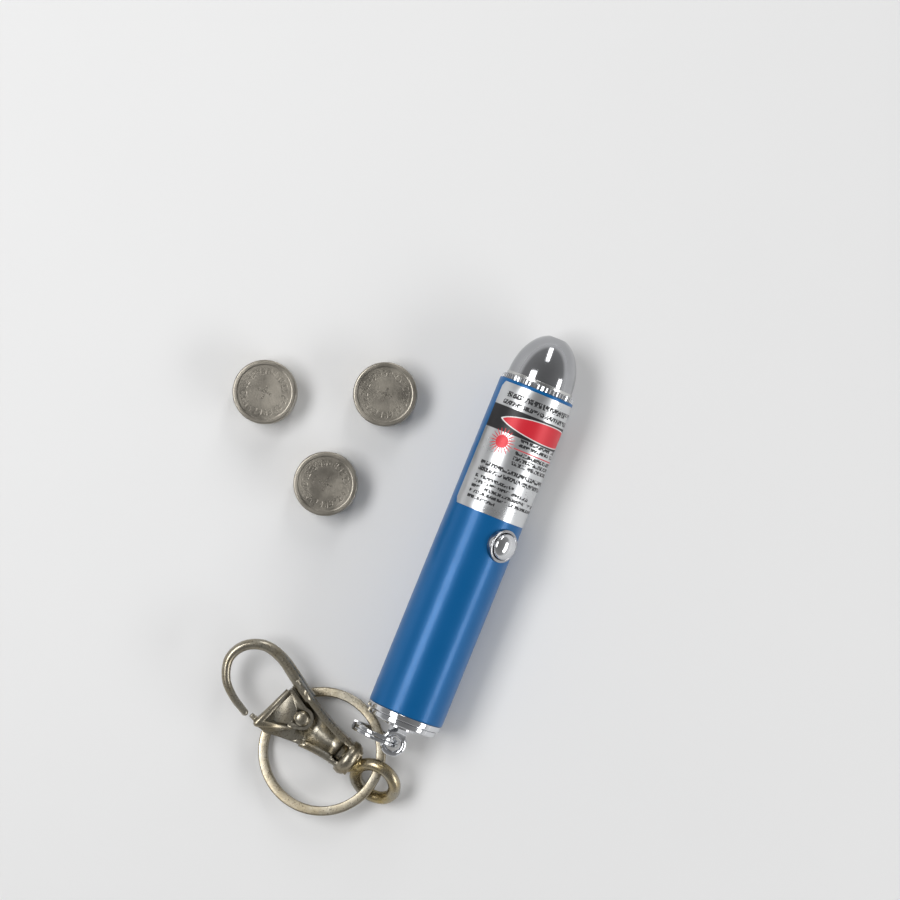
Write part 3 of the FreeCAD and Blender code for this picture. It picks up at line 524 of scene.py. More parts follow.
def label_print():
    """Silver foil printed with a dark band, a red bar, a rayed dot, a rule and fine ruled lines."""
    looks = settings("pointer_barrel")
    tree = Finish("label_foil", FOIL_METALLIC, 0.3)
    mask = Mask(tree)
    band_low = looks.band_from - looks.label_front
    band_high = band_low + looks.band_width
    band_mid = (band_low + band_high) / 2
    shine = tree.noise(0.25 * PER_MM, 4.0)
    band = mask.strip(mask.u, band_low, band_high)
    white = mask.leaf(band_mid, BAR_FROM, BAR_TO, BAR_HALF)
    reds = mask.leaf(band_mid, BAR_FROM + BAR_TRIM, BAR_TO - BAR_TRIM, BAR_HALF - BAR_MARGIN)
    rule_low, rule_high = RULE_FROM_DOT
    for shape in (
        mask.ring(DOT_U, DOT_V, 0.0, DOT_R),
        mask.spokes(DOT_U, DOT_V, DOT_R, DOT_REACH, DOT_SPOKES),
        mask.box(DOT_U + rule_low, DOT_U + rule_high, DOT_V + DOT_REACH, RULE_TO),
    ):
        reds = reds.math("MAXIMUM", shape)
    ink = ruled_lines(tree, mask)
    base = tree.mixed(
        tree.mapped(shine, 0.35, 0.65), tinted(looks.foil, 0.93), tinted(looks.foil, 1.05)
    )
    printed = None
    for layer, shade in (
        (ink, looks.ink),
        (band, looks.band),
        (white, LABEL_WHITE),
        (reds, looks.accent),
    ):
        base = tree.mixed(layer, base, shade)
        printed = layer if printed is None else printed.math("MAXIMUM", layer)
    height = tree.noise(0.8 * PER_MM, 3.0) + printed * 0.3
    return tree.done(
        Base_Color=base,
        Metallic=FOIL_METALLIC - printed * 0.75,
        Roughness=tree.mapped(shine, 0.3, 0.7, 0.24, 0.36) + printed * 0.12,
        Normal=tree.bump(height, 0.08, 0.03 * MM),
    )


FINISHES = {}


def make_finishes():
    metals = settings("pointer_metal")
    steel = metals.cell_steel
    FINISHES.update(
        blue_barrel=lacquer(),
        foil=label_print(),
        chrome=polished_metal("bright_chrome", metals.chrome, 0.07),
        # Painted shade: the nose and the button's collar get a darker copy of the chrome.
        dark_chrome=polished_metal("dark_chrome", metals.dark_chrome, 0.06, 0.05, 0.4),
        # Painted reflection: the pale band round the nose's base stands in for the light that the chrome's edge
        # reflects.
        nose_rim=polished_metal("nose_rim_metal", (0.60, 0.60, 0.59), 0.22),
        steel=polished_metal("bright_steel", (0.52, 0.51, 0.50), 0.2),
        satin_nickel=satin_metal("satin_nickel", metals.nickel, (0.315, 0.27, 0.19), 0.3),
        worn_nickel=satin_metal(
            "worn_nickel", tinted(metals.nickel, 0.95), (0.40, 0.31, 0.15), 0.28
        ),
        brass=satin_metal("machined_brass", metals.brass, (0.55, 0.36, 0.14), 0.28),
        cell_steel=cell_face(steel),
        cell_mark=satin_metal("cell_mark_metal", tinted(steel, 1.6), tinted(steel, 1.3), 0.26),
        board_green=board_finish(),
        black_plastic=moulded("black_plastic", (0.018, 0.018, 0.02), 0.42),
        cream_plastic=moulded("cream_plastic", (0.60, 0.56, 0.46)),
        liner=moulded("liner_plastic", (0.74, 0.74, 0.72)),
        rubber=moulded("o_ring_rubber", (0.016, 0.016, 0.017), 0.55),
        lens_glass=clear_glass(),
    )


# ---- mesh helpers ----

# Sides of a turned piece, by how large it is.
SIDES_BARREL = 192
SIDES_CAP = 160
SIDES = 128
SIDES_SMALL = 96

# Degrees past which an edge is shaded as an edge.
SHARP = 40.0
SHARP_CAP = 30.0
SHARP_EASED = 50.0

# A square's corners, in order.
SIGNS = ((-1, -1), (1, -1), (1, 1), (-1, 1))
Z_TO_X = Matrix(((0, 0, 1, 0), (1, 0, 0, 0), (0, 1, 0, 0), (0, 0, 0, 1)))


def in_scene(name, data):
    """A new object, linked to the scene."""
    obj = bpy.data.objects.new(name, data)
    bpy.context.scene.collection.objects.link(obj)
    return obj


def piece(name, mesh, body, slot, nodes=(), finish=None):
    """Puts a finished mesh in the scene: its finish, its body, and the nodes it stands for."""
    obj = in_scene(name, mesh)
    mesh.materials.clear()
    mesh.materials.append(FINISHES[finish or slot])
    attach(obj, body)
    if nodes:
        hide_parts(*nodes)
    return obj


def shaded(mesh, sharp):
    """The mesh, smooth but for its sharp edges."""
    mesh.shade_smooth()
    mesh.set_sharp_from_angle(angle=math.radians(sharp))
    return mesh


def to_mesh(name, bm, matrix=None, sharp=SHARP):
    """The finished mesh of a bmesh in millimetres: merged, placed and shaded."""
    bmesh.ops.remove_doubles(bm, verts=bm.verts, dist=1e-5)
    bmesh.ops.recalc_face_normals(bm, faces=bm.faces)
    bm.transform((matrix or Matrix.Identity(4)) @ Matrix.Scale(MM, 4))
    mesh = bpy.data.meshes.new(name)
    bm.to_mesh(mesh)
    bm.free()
    return shaded(mesh, sharp)


def node_copy(name, node, body, slot, sharp=SHARP, finish=None):
    """A smooth-shaded copy of a node whose shape is right."""
    bm = bmesh.new()
    bm.from_mesh(frame["nodes"][node].data)
    bmesh.ops.remove_doubles(bm, verts=bm.verts, dist=1e-6)
    flat = math.radians(1.0)
    bmesh.ops.dissolve_limit(bm, angle_limit=flat, verts=bm.verts, edges=bm.edges)
    bmesh.ops.triangulate(bm, faces=[f for f in bm.faces if len(f.verts) > 4])
    mesh = bpy.data.meshes.new(name)
    bm.to_mesh(mesh)
    bm.free()
    return piece(name, shaded(mesh, sharp), body, slot, [node], finish)


def evaluated(obj):
    """The plain mesh of an object with its modifiers, which is then removed."""
    bpy.context.view_layer.update()
    depsgraph = bpy.context.evaluated_depsgraph_get()
    mesh = bpy.data.meshes.new_from_object(obj.evaluated_get(depsgraph))
    bpy.data.objects.remove(obj)
    return mesh


def rounded(corners, steps=4):
    """A closed outline whose (along, across, radius) corners are turned into arcs."""
    points = []
    for index, (along, across, radius) in enumerate(corners):
        here = Vector((along, across))
        if radius <= 0:
            points.append(here)
            continue
        before = Vector(corners[index - 1][:2]) - here
        after = Vector(corners[(index + 1) % len(corners)][:2]) - here
        half = before.angle(after) / 2
        cut = min(radius / math.tan(half), before.length / 2, after.length / 2)
        start = here + before.normalized() * cut
        end = here + after.normalized() * cut
        for step in range(steps + 1):
            t = step / steps
            points.append(start * (1 - t) ** 2 + here * 2 * t * (1 - t) + end * t**2)
    return points


def wall(back, front, inner, outer, eases, steps=4):
    """The outline of a turned wall. Eases are for its inner and outer back and front corners."""
    places = ((back, inner), (back, outer), (front, outer), (front, inner))
    return rounded([(x, r, ease) for (x, r), ease in zip(places, eases)], steps)


def dome(base, height, radius, steps, turn=QUARTER):
    """The (along, radius) points of an ellipse from its base up, through an angle."""
    turns = [turn * k / steps for k in range(steps + 1)]
    return [(base + height * math.sin(a), radius * math.cos(a)) for a in turns]


def lathe(outline, segments=SIDES, uv=False):
    """A bmesh of an outline of (along Z, radius) points, turned about Z. UV is (angle, radius)."""
    bm = bmesh.new()
    rows = []
    for index in range(segments):
        turn = 2 * math.pi * index / segments
        rows.append([bm.verts.new((r * math.cos(turn), r * math.sin(turn), z)) for z, r in outline])
    layer = bm.loops.layers.uv.new("UVMap") if uv else None
    for index in range(segments):
        first, second = rows[index], rows[(index + 1) % segments]
        for k in range(len(outline)):
            n = (k + 1) % len(outline)
            if outline[k][1] < 1e-6 and outline[n][1] < 1e-6:
                continue
            face = bm.faces.new((first[k], second[k], second[n], first[n]))
            if layer:
                corners = [(index, k), (index + 1, k), (index + 1, n), (index, n)]
                for loop, (column, row) in zip(face.loops, corners):
                    loop[layer].uv = (column / segments * CELL_ROUND, outline[row][1])
    return bm


def along_barrel(name, outline, segments, sharp=SHARP):
    """A mesh turned about the barrel's axis, counted from the barrel's front end."""
    return to_mesh(name, lathe(outline, segments), BARREL_MATRIX @ Z_TO_X, sharp)


def skin(bm, rows):
    """Faces between rows of vertices, each row closed, with a cap at either end."""
    for first, second in zip(rows, rows[1:]):
        for k in range(len(first)):
            n = (k + 1) % len(first)
            bm.faces.new((first[k], first[n], second[n], second[k]))
    bm.faces.new(rows[0][::-1])
    bm.faces.new(rows[-1])


def swept(path, frames, section):
    """A bmesh of a section of (side, up) points carried along a path of side and up vectors."""
    bm = bmesh.new()
    rows = []
    for point, (side, up) in zip(path, frames):
        rows.append([bm.verts.new(point + side * s + up * u) for s, u in section])
    skin(bm, rows)
    return bm


# ---- the pointer's outside ----

BARREL_WALL = 0.7
BORE_EASE = 0.1
COLLAR_R = 3.07
COLLAR_FOOT = 3.0


class POINTER_OT_barrel(bpy.types.Operator):
    """The lacquered tube with rounded rims and the hole for the button's collar"""

    bl_idname = "pointer.barrel"
    bl_label = "Barrel"

    def execute(self, context):
        edge = settings("pointer_barrel").edge
        eases = (BORE_EASE, edge, edge, BORE_EASE)
        outline = wall(REAR_X - FRONT_X, 0, BARREL_R - BARREL_WALL, BARREL_R, eases)
        tube = in_scene("barrel", along_barrel("barrel", outline, SIDES_BARREL))
        top = 2 * BARREL_R
        hole = [(COLLAR_FOOT, 0), (COLLAR_FOOT, COLLAR_R), (top, COLLAR_R), (top, 0)]
        cutter = in_scene("cutter", to_mesh("cutter", lathe(hole, SIDES_SMALL), BUTTON_MATRIX))
        cut = tube.modifiers.new("hole", "BOOLEAN")
        cut.object = cutter
        cut.operation = "DIFFERENCE"
        cut.solver = "EXACT"
        mesh = evaluated(tube)
        bpy.data.objects.remove(cutter)
        piece("barrel_shell", shaded(mesh, SHARP), "pointer", "blue_barrel", ["barrel_tube"])
        return {"FINISHED"}


LABEL_FIRST_DEG = -60.0
LABEL_LAST_DEG = 134.7
LABEL_GAP = 0.02
LABEL_CORNER = 0.6
LABEL_COLUMNS = 96
LABEL_ROWS = 24


def label_grid(length, half_v):
    """Rows of (u, v) places over the label, whose corners are rounded."""
    half_u = length / 2
    grid = []
    for i in range(LABEL_ROWS + 1):
        u = -half_u + length * i / LABEL_ROWS
        over = max(abs(u) - (half_u - LABEL_CORNER), 0)
        reach = half_v - LABEL_CORNER + math.sqrt(max(LABEL_CORNER**2 - over**2, 0))
        row = [reach * (2 * k / LABEL_COLUMNS - 1) for k in range(LABEL_COLUMNS + 1)]
        grid.append([(u + half_u, v) for v in row])
    return grid


class POINTER_OT_label(bpy.types.Operator):
    """Foil wrapped about half way round, flat on the barrel, with rounded corners"""

    bl_idname = "pointer.label"
    bl_label = "Label"

    def execute(self, context):
        looks = settings("pointer_barrel")
        radius = BARREL_R + LABEL_GAP
        first = math.radians(LABEL_FIRST_DEG)
        last = math.radians(LABEL_LAST_DEG)
        grid = label_grid(looks.label_length, (last - first) / 2 * radius)
        bm = bmesh.new()
        layer = bm.loops.layers.uv.new("UVMap")

        def place(u, v, lift):
            turn = (first + last) / 2 + v / radius
            r = radius + lift
            x = FRONT_X - looks.label_front - u
            return bm.verts.new((x, -r * math.sin(turn), r * math.cos(turn)))

        sheets = [
            [[place(u, v, lift) for u, v in line] for line in grid]
            for lift in (0, looks.label_thick)
        ]

        def face(corners):
            made = bm.faces.new([sheets[side][i][k] for side, i, k in corners])
            for loop, (_, i, k) in zip(made.loops, corners):
                loop[layer].uv = grid[i][k]

        rows, columns = LABEL_ROWS, LABEL_COLUMNS
        for i in range(rows):
            for k in range(columns):
                quad = [(i, k), (i, k + 1), (i + 1, k + 1), (i + 1, k)]
                face([(1, *corner) for corner in quad])
                face([(0, *corner) for corner in quad[::-1]])
        rim = [(0, k) for k in range(columns)] + [(i, columns) for i in range(rows)]
        rim += [(rows, k) for k in range(columns, 0, -1)] + [(i, 0) for i in range(rows, 0, -1)]
        for here, there in zip(rim, rim[1:] + rim[:1]):
            face([(0, *here), (0, *there), (1, *there), (1, *here)])
        piece("label", to_mesh("label", bm), "pointer", "foil", ["barrel_label"])
        return {"FINISHED"}


BUTTON_TOP = 8.9
BUTTON_DOME = 1.25
BUTTON_DOME_STEPS = 14
BUTTON_EASE = 0.1
BUTTON_R = 2.4
BUTTON_FOOT = 3.15
BUTTON_STEM_R = 1.1
FLANGE_FOOT = 4.7
FLANGE_TOP = 5.4
FLANGE_R = 2.9
COLLAR_BASE = 5.5
COLLAR_PROUD = 0.55
COLLAR_PLAY = 0.1
COLLAR_FIT = 0.02
COLLAR_EASES = (0, 0, 0.24, 0.2)


class POINTER_OT_button(bpy.types.Operator):
    """The domed button, its stem, and the ring that it slides in"""

    bl_idname = "pointer.button"
    bl_label = "Push button"

    def execute(self, context):
        shoulder = BUTTON_TOP - BUTTON_DOME
        profile = [
            (BUTTON_FOOT, 0),
            (BUTTON_FOOT, BUTTON_STEM_R),
            (FLANGE_FOOT, BUTTON_STEM_R),
            (FLANGE_FOOT, FLANGE_R),
            (FLANGE_TOP, FLANGE_R),
            (FLANGE_TOP, BUTTON_R),
            (shoulder - BUTTON_EASE, BUTTON_R),
            *dome(shoulder, BUTTON_DOME, BUTTON_R, BUTTON_DOME_STEPS),
        ]
        button = to_mesh("push_button", lathe(profile, SIDES_SMALL), BUTTON_MATRIX)
        piece("button_dome", button, "button", "chrome", ["push_button"])
        top = BARREL_R + COLLAR_PROUD
        inner, outer = BUTTON_R + COLLAR_PLAY, COLLAR_R - COLLAR_FIT
        collar = lathe(wall(COLLAR_BASE, top, inner, outer, COLLAR_EASES, 6), SIDES_SMALL)
        collar = to_mesh("collar", collar, BUTTON_MATRIX)
        # The collar's darker chrome is painted shade, for the shaded groove round the button.
        piece("button_bezel", collar, "pointer", "dark_chrome", ["button_collar"])
        return {"FINISHED"}


KNURL_LEN = 0.9
NOSE_R = 6.1
NOSE_H = 8.9
NOSE_WALL = 0.9
NOSE_RIM = 0.5
NOSE_SPIGOT = 2.2
NOSE_STEPS = 40
NOSE_INNER_STEPS = 8
NOSE_INNER_TURN = QUARTER * 0.62
APERTURE_R = 1.7
APERTURE_LIP = 0.25
APERTURE_EASE = 0.05
WINDOW_THICK = 0.8
WINDOW_R = 2.35
BAND_GAP = 0.02
BAND_OVER = 0.1
BAND_SUNK = 0.1
BAND_PROUD = 0.12
BAND_EASES = (0, 0.08, 0.12, 0)


class POINTER_OT_nose(bpy.types.Operator):
    """The bullet-shaped nose in darker chrome, which is painted shade, with a pale band at its base, which is a
    painted reflection, its spigot and the beam's opening
    """

    bl_idname = "pointer.nose"
    bl_label = "Nose"

    def execute(self, context):
        inner = NOSE_R - NOSE_WALL
        base = KNURL_LEN + NOSE_RIM
        tip = math.asin(APERTURE_R / NOSE_R)
        seat = base + NOSE_H - NOSE_WALL - WINDOW_THICK
        outline = [
            (-NOSE_SPIGOT, inner - NOSE_WALL),
            (-NOSE_SPIGOT, inner),
            (KNURL_LEN, inner),
            (KNURL_LEN, NOSE_R),
            *dome(base, NOSE_H, NOSE_R, NOSE_STEPS, QUARTER - tip),
            (base + NOSE_H * math.cos(tip) - APERTURE_LIP, APERTURE_R - APERTURE_EASE),
            (seat + WINDOW_THICK, APERTURE_R),
            (seat + WINDOW_THICK, WINDOW_R),
            (seat, WINDOW_R),
            *dome(base, seat - base, inner, NOSE_INNER_STEPS, NOSE_INNER_TURN)[::-1],
            (base, inner - NOSE_WALL),
        ]
        shell = along_barrel("nose", outline, SIDES_CAP, SHARP_CAP)
        # The nose's darker chrome is painted shade, for the dark reflection it shows.
        piece("nose_dome", shell, "nose", "dark_chrome", ["nose_cap"])
        # A pale band round the nose's base; its paler metal is a painted reflection of the bright surroundings.
        back, front = KNURL_LEN + BAND_GAP, base + BAND_OVER
        band = wall(back, front, NOSE_R - BAND_SUNK, NOSE_R + BAND_PROUD, BAND_EASES)
        band = along_barrel("nose_rim", band, SIDES_CAP)
        piece("nose_rim", band, "nose", "chrome", finish="nose_rim")
        return {"FINISHED"}


KNURL_R = 6.6
KNURL_GAP = 0.02
KNURL_EASES = (0, 0.1, 0.1, 0)
KNURL_RIDGES = 60
RIDGE_R = 0.3
RIDGE_SIDES = 8
RIDGE_SUNK = 0.35
RIDGE_SHORT = 0.1
KNURL_SHARP = 35.0


def knurl_tree():
    """Straight knurling: one ridge, repeated round a ring."""
    group = bpy.data.node_groups.new("straight_knurling", "GeometryNodeTree")
    inputs = {}
    for name, kind in (
        ("Geometry", "Geometry"),
        ("Ridges", "Int"),
        ("Radius", "Float"),
        ("Length", "Float"),
        ("Ridge radius", "Float"),
        ("Metal", "Material"),
    ):
        kind = "NodeSocket" + kind
        socket = group.interface.new_socket(name, in_out="INPUT", socket_type=kind)
        inputs[name] = socket.identifier
    group.interface.new_socket("Geometry", in_out="OUTPUT", socket_type="NodeSocketGeometry")
    tree = Tree(group)
    given = group.nodes.new("NodeGroupInput")

    def named(name):
        return Wire(tree, given.outputs[name])

    circle = tree.add("GeometryNodeMeshCircle", Vertices=named("Ridges"), Radius=named("Radius"))
    ridge = tree.add(
        "GeometryNodeMeshCylinder",
        Vertices=RIDGE_SIDES,
        Radius=named("Ridge radius"),
        Depth=named("Length"),
    )
    place = tree.add("GeometryNodeInputPosition")
    outwards = tree.add("FunctionNodeAlignEulerToVector", {"axis": "X"}, Vector=place)
    spread = tree.node(
        "GeometryNodeInstanceOnPoints", Points=circle, Instance=ridge, Rotation=outwards
    )
    joined = tree.node("GeometryNodeJoinGeometry")
    group.links.new(spread.outputs[0], joined.inputs[0])
    group.links.new(given.outputs["Geometry"], joined.inputs[0])
    real = tree.add("GeometryNodeRealizeInstances", None, Wire(tree, joined.outputs[0]))
    painted = tree.node("GeometryNodeSetMaterial", Geometry=real, Material=named("Metal"))
    out = group.nodes.new("NodeGroupOutput")
    group.links.new(painted.outputs[0], out.inputs[0])
    return group, inputs


def grown(name, mesh, group, inputs, values):
    """The plain mesh that a geometry tree makes from a starting mesh."""
    obj = in_scene(name, mesh)
    modifier = obj.modifiers.new(name, "NODES")
    modifier.node_group = group
    for key, value in values.items():
        modifier[inputs[key]] = value
    return evaluated(obj)


class POINTER_OT_knurl(bpy.types.Operator):
    """The thin knurled ring between the barrel and the nose"""

    bl_idname = "pointer.knurl"
    bl_label = "Knurled ring"

    def execute(self, context):
        inner = NOSE_R - NOSE_WALL + KNURL_GAP
        outline = wall(KNURL_GAP, KNURL_LEN - KNURL_GAP, inner, KNURL_R, KNURL_EASES)
        to_middle = Matrix.Translation((0, 0, KNURL_LEN / 2 * MM))
        core = to_mesh("knurl_core", lathe(outline, SIDES_SMALL))
        core.transform(to_middle.inverted())
        group, inputs = knurl_tree()
        values = {
            "Ridges": KNURL_RIDGES,
            "Radius": (KNURL_R - RIDGE_R * RIDGE_SUNK) * MM,
            "Length": (KNURL_LEN - RIDGE_SHORT) * MM,
            "Ridge radius": RIDGE_R * MM,
            "Metal": FINISHES["chrome"],
        }
        mesh = grown("knurl", core, group, inputs, values)
        mesh.transform(BARREL_MATRIX @ Z_TO_X @ to_middle)
        mesh.set_sharp_from_angle(angle=math.radians(KNURL_SHARP))
        piece("knurled_ring", mesh, "nose", "chrome", ["nose_ring"])
        return {"FINISHED"}


CAP_LENGTH = 2.2
CAP_FACE = -62.52
CAP_BACK = CAP_FACE - CAP_LENGTH
CAP_FLOOR = CAP_BACK + 1.6
CAP_BAND = 1.0
CAP_GROOVE = 0.2
CAP_R = 6.95
CAP_REAR_R = 6.45
CAP_GROOVE_R = 6.1
GROOVE_FRONT = CAP_FACE - CAP_BAND
GROOVE_BACK = GROOVE_FRONT - CAP_GROOVE
SPIGOT_FRONT = -58.6
SPIGOT_R = 6.2
SPIGOT_BORE_R = SPIGOT_R - 1.0
ORING_FRONT = -59.75
ORING_BACK = -60.45
ORING_SEAT_R = SPIGOT_R - 0.55
POST_HOLE_R = 1.22
EYELET_SHARP = 34.0
CAP_CORNERS = (
    (SPIGOT_FRONT, SPIGOT_BORE_R, 0.1),
    (SPIGOT_FRONT, SPIGOT_R, 0.15),
    (ORING_FRONT, SPIGOT_R, 0.05),
    (ORING_FRONT, ORING_SEAT_R, 0.05),
    (ORING_BACK, ORING_SEAT_R, 0.05),
    (ORING_BACK, SPIGOT_R, 0.05),
    (CAP_FACE, SPIGOT_R, 0),
    (CAP_FACE, CAP_R, 0.18),
    (GROOVE_FRONT, CAP_R, 0.12),
    (GROOVE_FRONT, CAP_GROOVE_R, 0.05),
    (GROOVE_BACK, CAP_GROOVE_R, 0.05),
    (GROOVE_BACK, CAP_REAR_R, 0.12),
    (CAP_BACK, CAP_REAR_R, 0.35),
    (CAP_BACK, POST_HOLE_R, 0),
    (CAP_FLOOR, POST_HOLE_R, 0),
    (CAP_FLOOR, SPIGOT_BORE_R, 0.2),
)


class POINTER_OT_end_cap(bpy.types.Operator):
    """The stepped end cap with its groove, and the eyelet riveted to it"""

    bl_idname = "pointer.end_cap"
    bl_label = "End cap"

    def execute(self, context):
        shell = along_barrel("cap", rounded(CAP_CORNERS), SIDES_CAP, SHARP_CAP)
        piece("cap_shell", shell, "cap", "chrome", ["end_cap"])
        node_copy("cap_eyelet", "cap_lug", "cap", "chrome", EYELET_SHARP)
        return {"FINISHED"}


# ---- rings and clasp ----

RING_STEPS = 260
RING_EASE = 0.3


def split_ring(radius, wire, turn, gap, ramp):
    """Two flat turns of wire with eased edges, one over the other, joined by a sloping step."""
    mid = radius - wire / 2
    across, up = wire / 2, turn / 2
    ease = min(wire, turn) * RING_EASE
    section = rounded([(s * across, t * up, ease) for s, t in SIGNS], steps=3)
    low = -(turn + gap) / 2
    path, frames = [], []
    for k in range(RING_STEPS + 1):
        place = ramp / 2 + (720 - ramp) * k / RING_STEPS
        climbed = min(max((place - (360 - ramp / 2)) / ramp, 0), 1)
        z = low * math.cos(math.pi * climbed)
        out = Vector((math.cos(math.radians(place)), math.sin(math.radians(place)), 0))
        path.append(out * mid + UP * z)
        frames.append((out, UP))
    return swept(path, frames, section)


class POINTER_OT_rings(bpy.types.Operator):
    """The large and the small split ring"""

    bl_idname = "pointer.rings"
    bl_label = "Split rings"

    def execute(self, context):
        sizes = settings("pointer_rings")
        gap, ramp = sizes.turn_gap, sizes.ramp
        large = split_ring(sizes.key_ring_r, sizes.key_ring_wire, sizes.key_ring_turn, gap, ramp)
        large = to_mesh("large_ring", large, KEY_RING_MATRIX, SHARP_EASED)
        piece("large_split_ring", large, "ring", "satin_nickel", ["key_ring"])
        heading = math.radians(sizes.small_ring_heading)
        along = Vector((math.cos(heading), math.sin(heading), 0))
        side = Vector((math.sin(heading), -math.cos(heading), 0))
        matrix = axes_to_matrix(middle("small_split_ring"), along, side)
        small = split_ring(
            sizes.small_ring_r, sizes.small_ring_wire, sizes.small_ring_turn, gap, ramp
        )
        small = to_mesh("small_ring_mesh", small, matrix, SHARP_EASED)
        piece("small_ring", small, "link_ring", "chrome", ["small_split_ring"])
        return {"FINISHED"}


# The hook's middle line, from its root to its tip, in the clasp's own plane.
HOOK_LINE = (
    (1.0, -3.6),
    (5.5, -4.8),
    (10.0, -5.9),
    (13.8, -5.5),
    (16.5, -3.0),
    (17.0, 0.4),
    (15.0, 3.5),
    (12.0, 5.1),
    (8.5, 5.9),
)
HOOK_ROOT_R = 1.25
HOOK_TIP_R = 0.65
HOOK_START = 0.45
HOOK_FAIRED = 5.5
HOOK_FREE_FROM = 5.6
HOOK_SIDES = 32
HOOK_SPAN_STEPS = 9
HOOK_TIP_STEPS = 6


def curve_through(points, per_span):
    """Points along a smooth curve through the given ones, evenly shared out between them."""
    ends = [points[0] * 2 - points[1], *points, points[-1] * 2 - points[-2]]
    line = []
    for index in range(1, len(ends) - 2):
        before, start, end, after = ends[index - 1 : index + 3]
        for step in range(per_span):
            t = step / per_span
            line.append(
                start
                + (end - before) * (t / 2)
                + (before * 2 - start * 5 + end * 4 - after) * (t * t / 2)
                + (start * 3 - before - end * 3 + after) * (t**3 / 2)
            )
    line.append(points[-1].copy())
    return line


def hook_wire():
    """The hook: a round wire that thins from its root to its rounded tip."""
    line = curve_through([Vector((u, v, 0)) for u, v in HOOK_LINE], HOOK_SPAN_STEPS)
    lengths = [0.0]
    for first, second in zip(line, line[1:]):
        lengths.append(lengths[-1] + (second - first).length)
    bm = bmesh.new()
    rows = []
    turns = [2 * math.pi * k / HOOK_SIDES for k in range(HOOK_SIDES)]
    for index, (point, length) in enumerate(zip(line, lengths)):
        ahead = line[min(index + 1, len(line) - 1)] - line[max(index - 1, 0)]
        side = UP.cross(ahead).normalized()
        fairing = math.sin(QUARTER * min(length / HOOK_FAIRED, 1))
        radius = HOOK_ROOT_R + (HOOK_TIP_R - HOOK_ROOT_R) * length / lengths[-1]
        radius *= HOOK_START + (1 - HOOK_START) * fairing
        ring = [side * math.cos(a) + UP * math.sin(a) for a in turns]
        rows.append([bm.verts.new(point + out * radius) for out in ring])
    end = line[-1]
    tip = (end - line[-2]).normalized() * HOOK_TIP_R
    last = rows[-1]
    for step in range(1, HOOK_TIP_STEPS):
        turn = QUARTER * step / HOOK_TIP_STEPS
        centre = end + tip * math.sin(turn)
        rows.append([bm.verts.new(centre + (v.co - end) * math.cos(turn)) for v in last])
    skin(bm, rows)
    return to_mesh("hook", bm, CLASP_MATRIX, SHARP_EASED)


class POINTER_OT_clasp(bpy.types.Operator):
    """The swivel eye, the clasp's body and hook, its trigger and its rivet"""

    bl_idname = "pointer.clasp"
    bl_label = "Snap clasp"

    def execute(self, context):
        node_copy("swivel", "swivel_eye", "swivel", "satin_nickel", finish="worn_nickel")
        body = node_copy("clasp", "clasp_body", "clasp", "satin_nickel")
        to_clasp = CLASP_MATRIX.inverted()
        bm = bmesh.new()
        bm.from_mesh(body.data)
        free = [v for v in bm.verts if (to_clasp @ v.co).x > HOOK_FREE_FROM * MM]
        bmesh.ops.delete(bm, geom=free, context="VERTS")
        bm.to_mesh(body.data)
        bm.free()
        piece("clasp_hook", hook_wire(), "clasp", "satin_nickel")
        node_copy("trigger", "clasp_trigger", "trigger", "satin_nickel")
        node_copy("rivet", "clasp_rivet", "clasp", "satin_nickel")
        return {"FINISHED"}


# ---- cells, inner pieces, stage ----

CELL_R = 5.8
CELL_H = 5.4
CELL_GASKET_TOP = 1.05
CELL_DISH = 0.06
CELL_FACE = CELL_H - CELL_DISH
CELL_RIM_R = CELL_R - 0.75
CELL_FACE_R = CELL_R - 0.95
CAN_CORNERS = (
    (CELL_GASKET_TOP, 0, 0),
    (CELL_GASKET_TOP, CELL_R, 0.12),
    (CELL_H, CELL_R, 0.5),
    (CELL_H, CELL_RIM_R, 0.1),
    (CELL_FACE, CELL_FACE_R, 0.1),
    (CELL_FACE, 0, 0),
)
PLUS_REACH = 1.3
PLUS_HALF = 0.16
PLUS_SUNK = 0.05
PLUS_RISE = 0.05
PLUS_EASE = 0.02
PLUS_SHARP = 20.0


def plus_sign():
    """A bmesh of a raised plus, as an outline of four like arms, on a cell's dished face."""
    corners = [(PLUS_REACH, -PLUS_HALF), (PLUS_REACH, PLUS_HALF), (PLUS_HALF, PLUS_HALF)]
    outline = []
    for _ in range(4):
        outline += corners
        corners = [(-b, a) for a, b in corners]
    ends = [UP * (CELL_FACE + rise) for rise in (-PLUS_SUNK, PLUS_RISE)]
    bm = swept(ends, [(Vector((1, 0, 0)), Vector((0, 1, 0)))] * 2, outline)
    bmesh.ops.bevel(
        bm, geom=bm.edges[:], offset=PLUS_EASE, segments=2, affect="EDGES", profile=0.5
    )
    return bm


class POINTER_OT_cells(bpy.types.Operator):
    """Three loose button cells: the steel can of each, with its plus sign"""

    bl_idname = "pointer.cells"
    bl_label = "Button cells"

    def execute(self, context):
        can = rounded(CAN_CORNERS, steps=8)
        for name in CELL_NAMES:
            centre = middle(name + "_can")
            matrix = Matrix.Translation((centre.x, centre.y, FLOOR_Z))
            shell = to_mesh(name, lathe(can, uv=True), matrix, SHARP_EASED)
            piece(name + "_shell", shell, name, "cell_steel", [name + "_can"])
            plus = to_mesh(name + "_mark", plus_sign(), matrix, PLUS_SHARP)
            piece(name + "_plus", plus, name, "cell_steel", finish="cell_mark")
        return {"FINISHED"}


class POINTER_OT_inside(bpy.types.Operator):
    """Finishes for the pieces whose solids are shown as they are"""

    bl_idname = "pointer.inside"
    bl_label = "Inner pieces"

    def execute(self, context):
        slots = {entry["node"]: entry["material_slot"] for entry in frame["record"]["subparts"]}
        for name, node in frame["nodes"].items():
            node.data.materials.clear()
            node.data.materials.append(FINISHES[slots[name]])
        return {"FINISHED"}


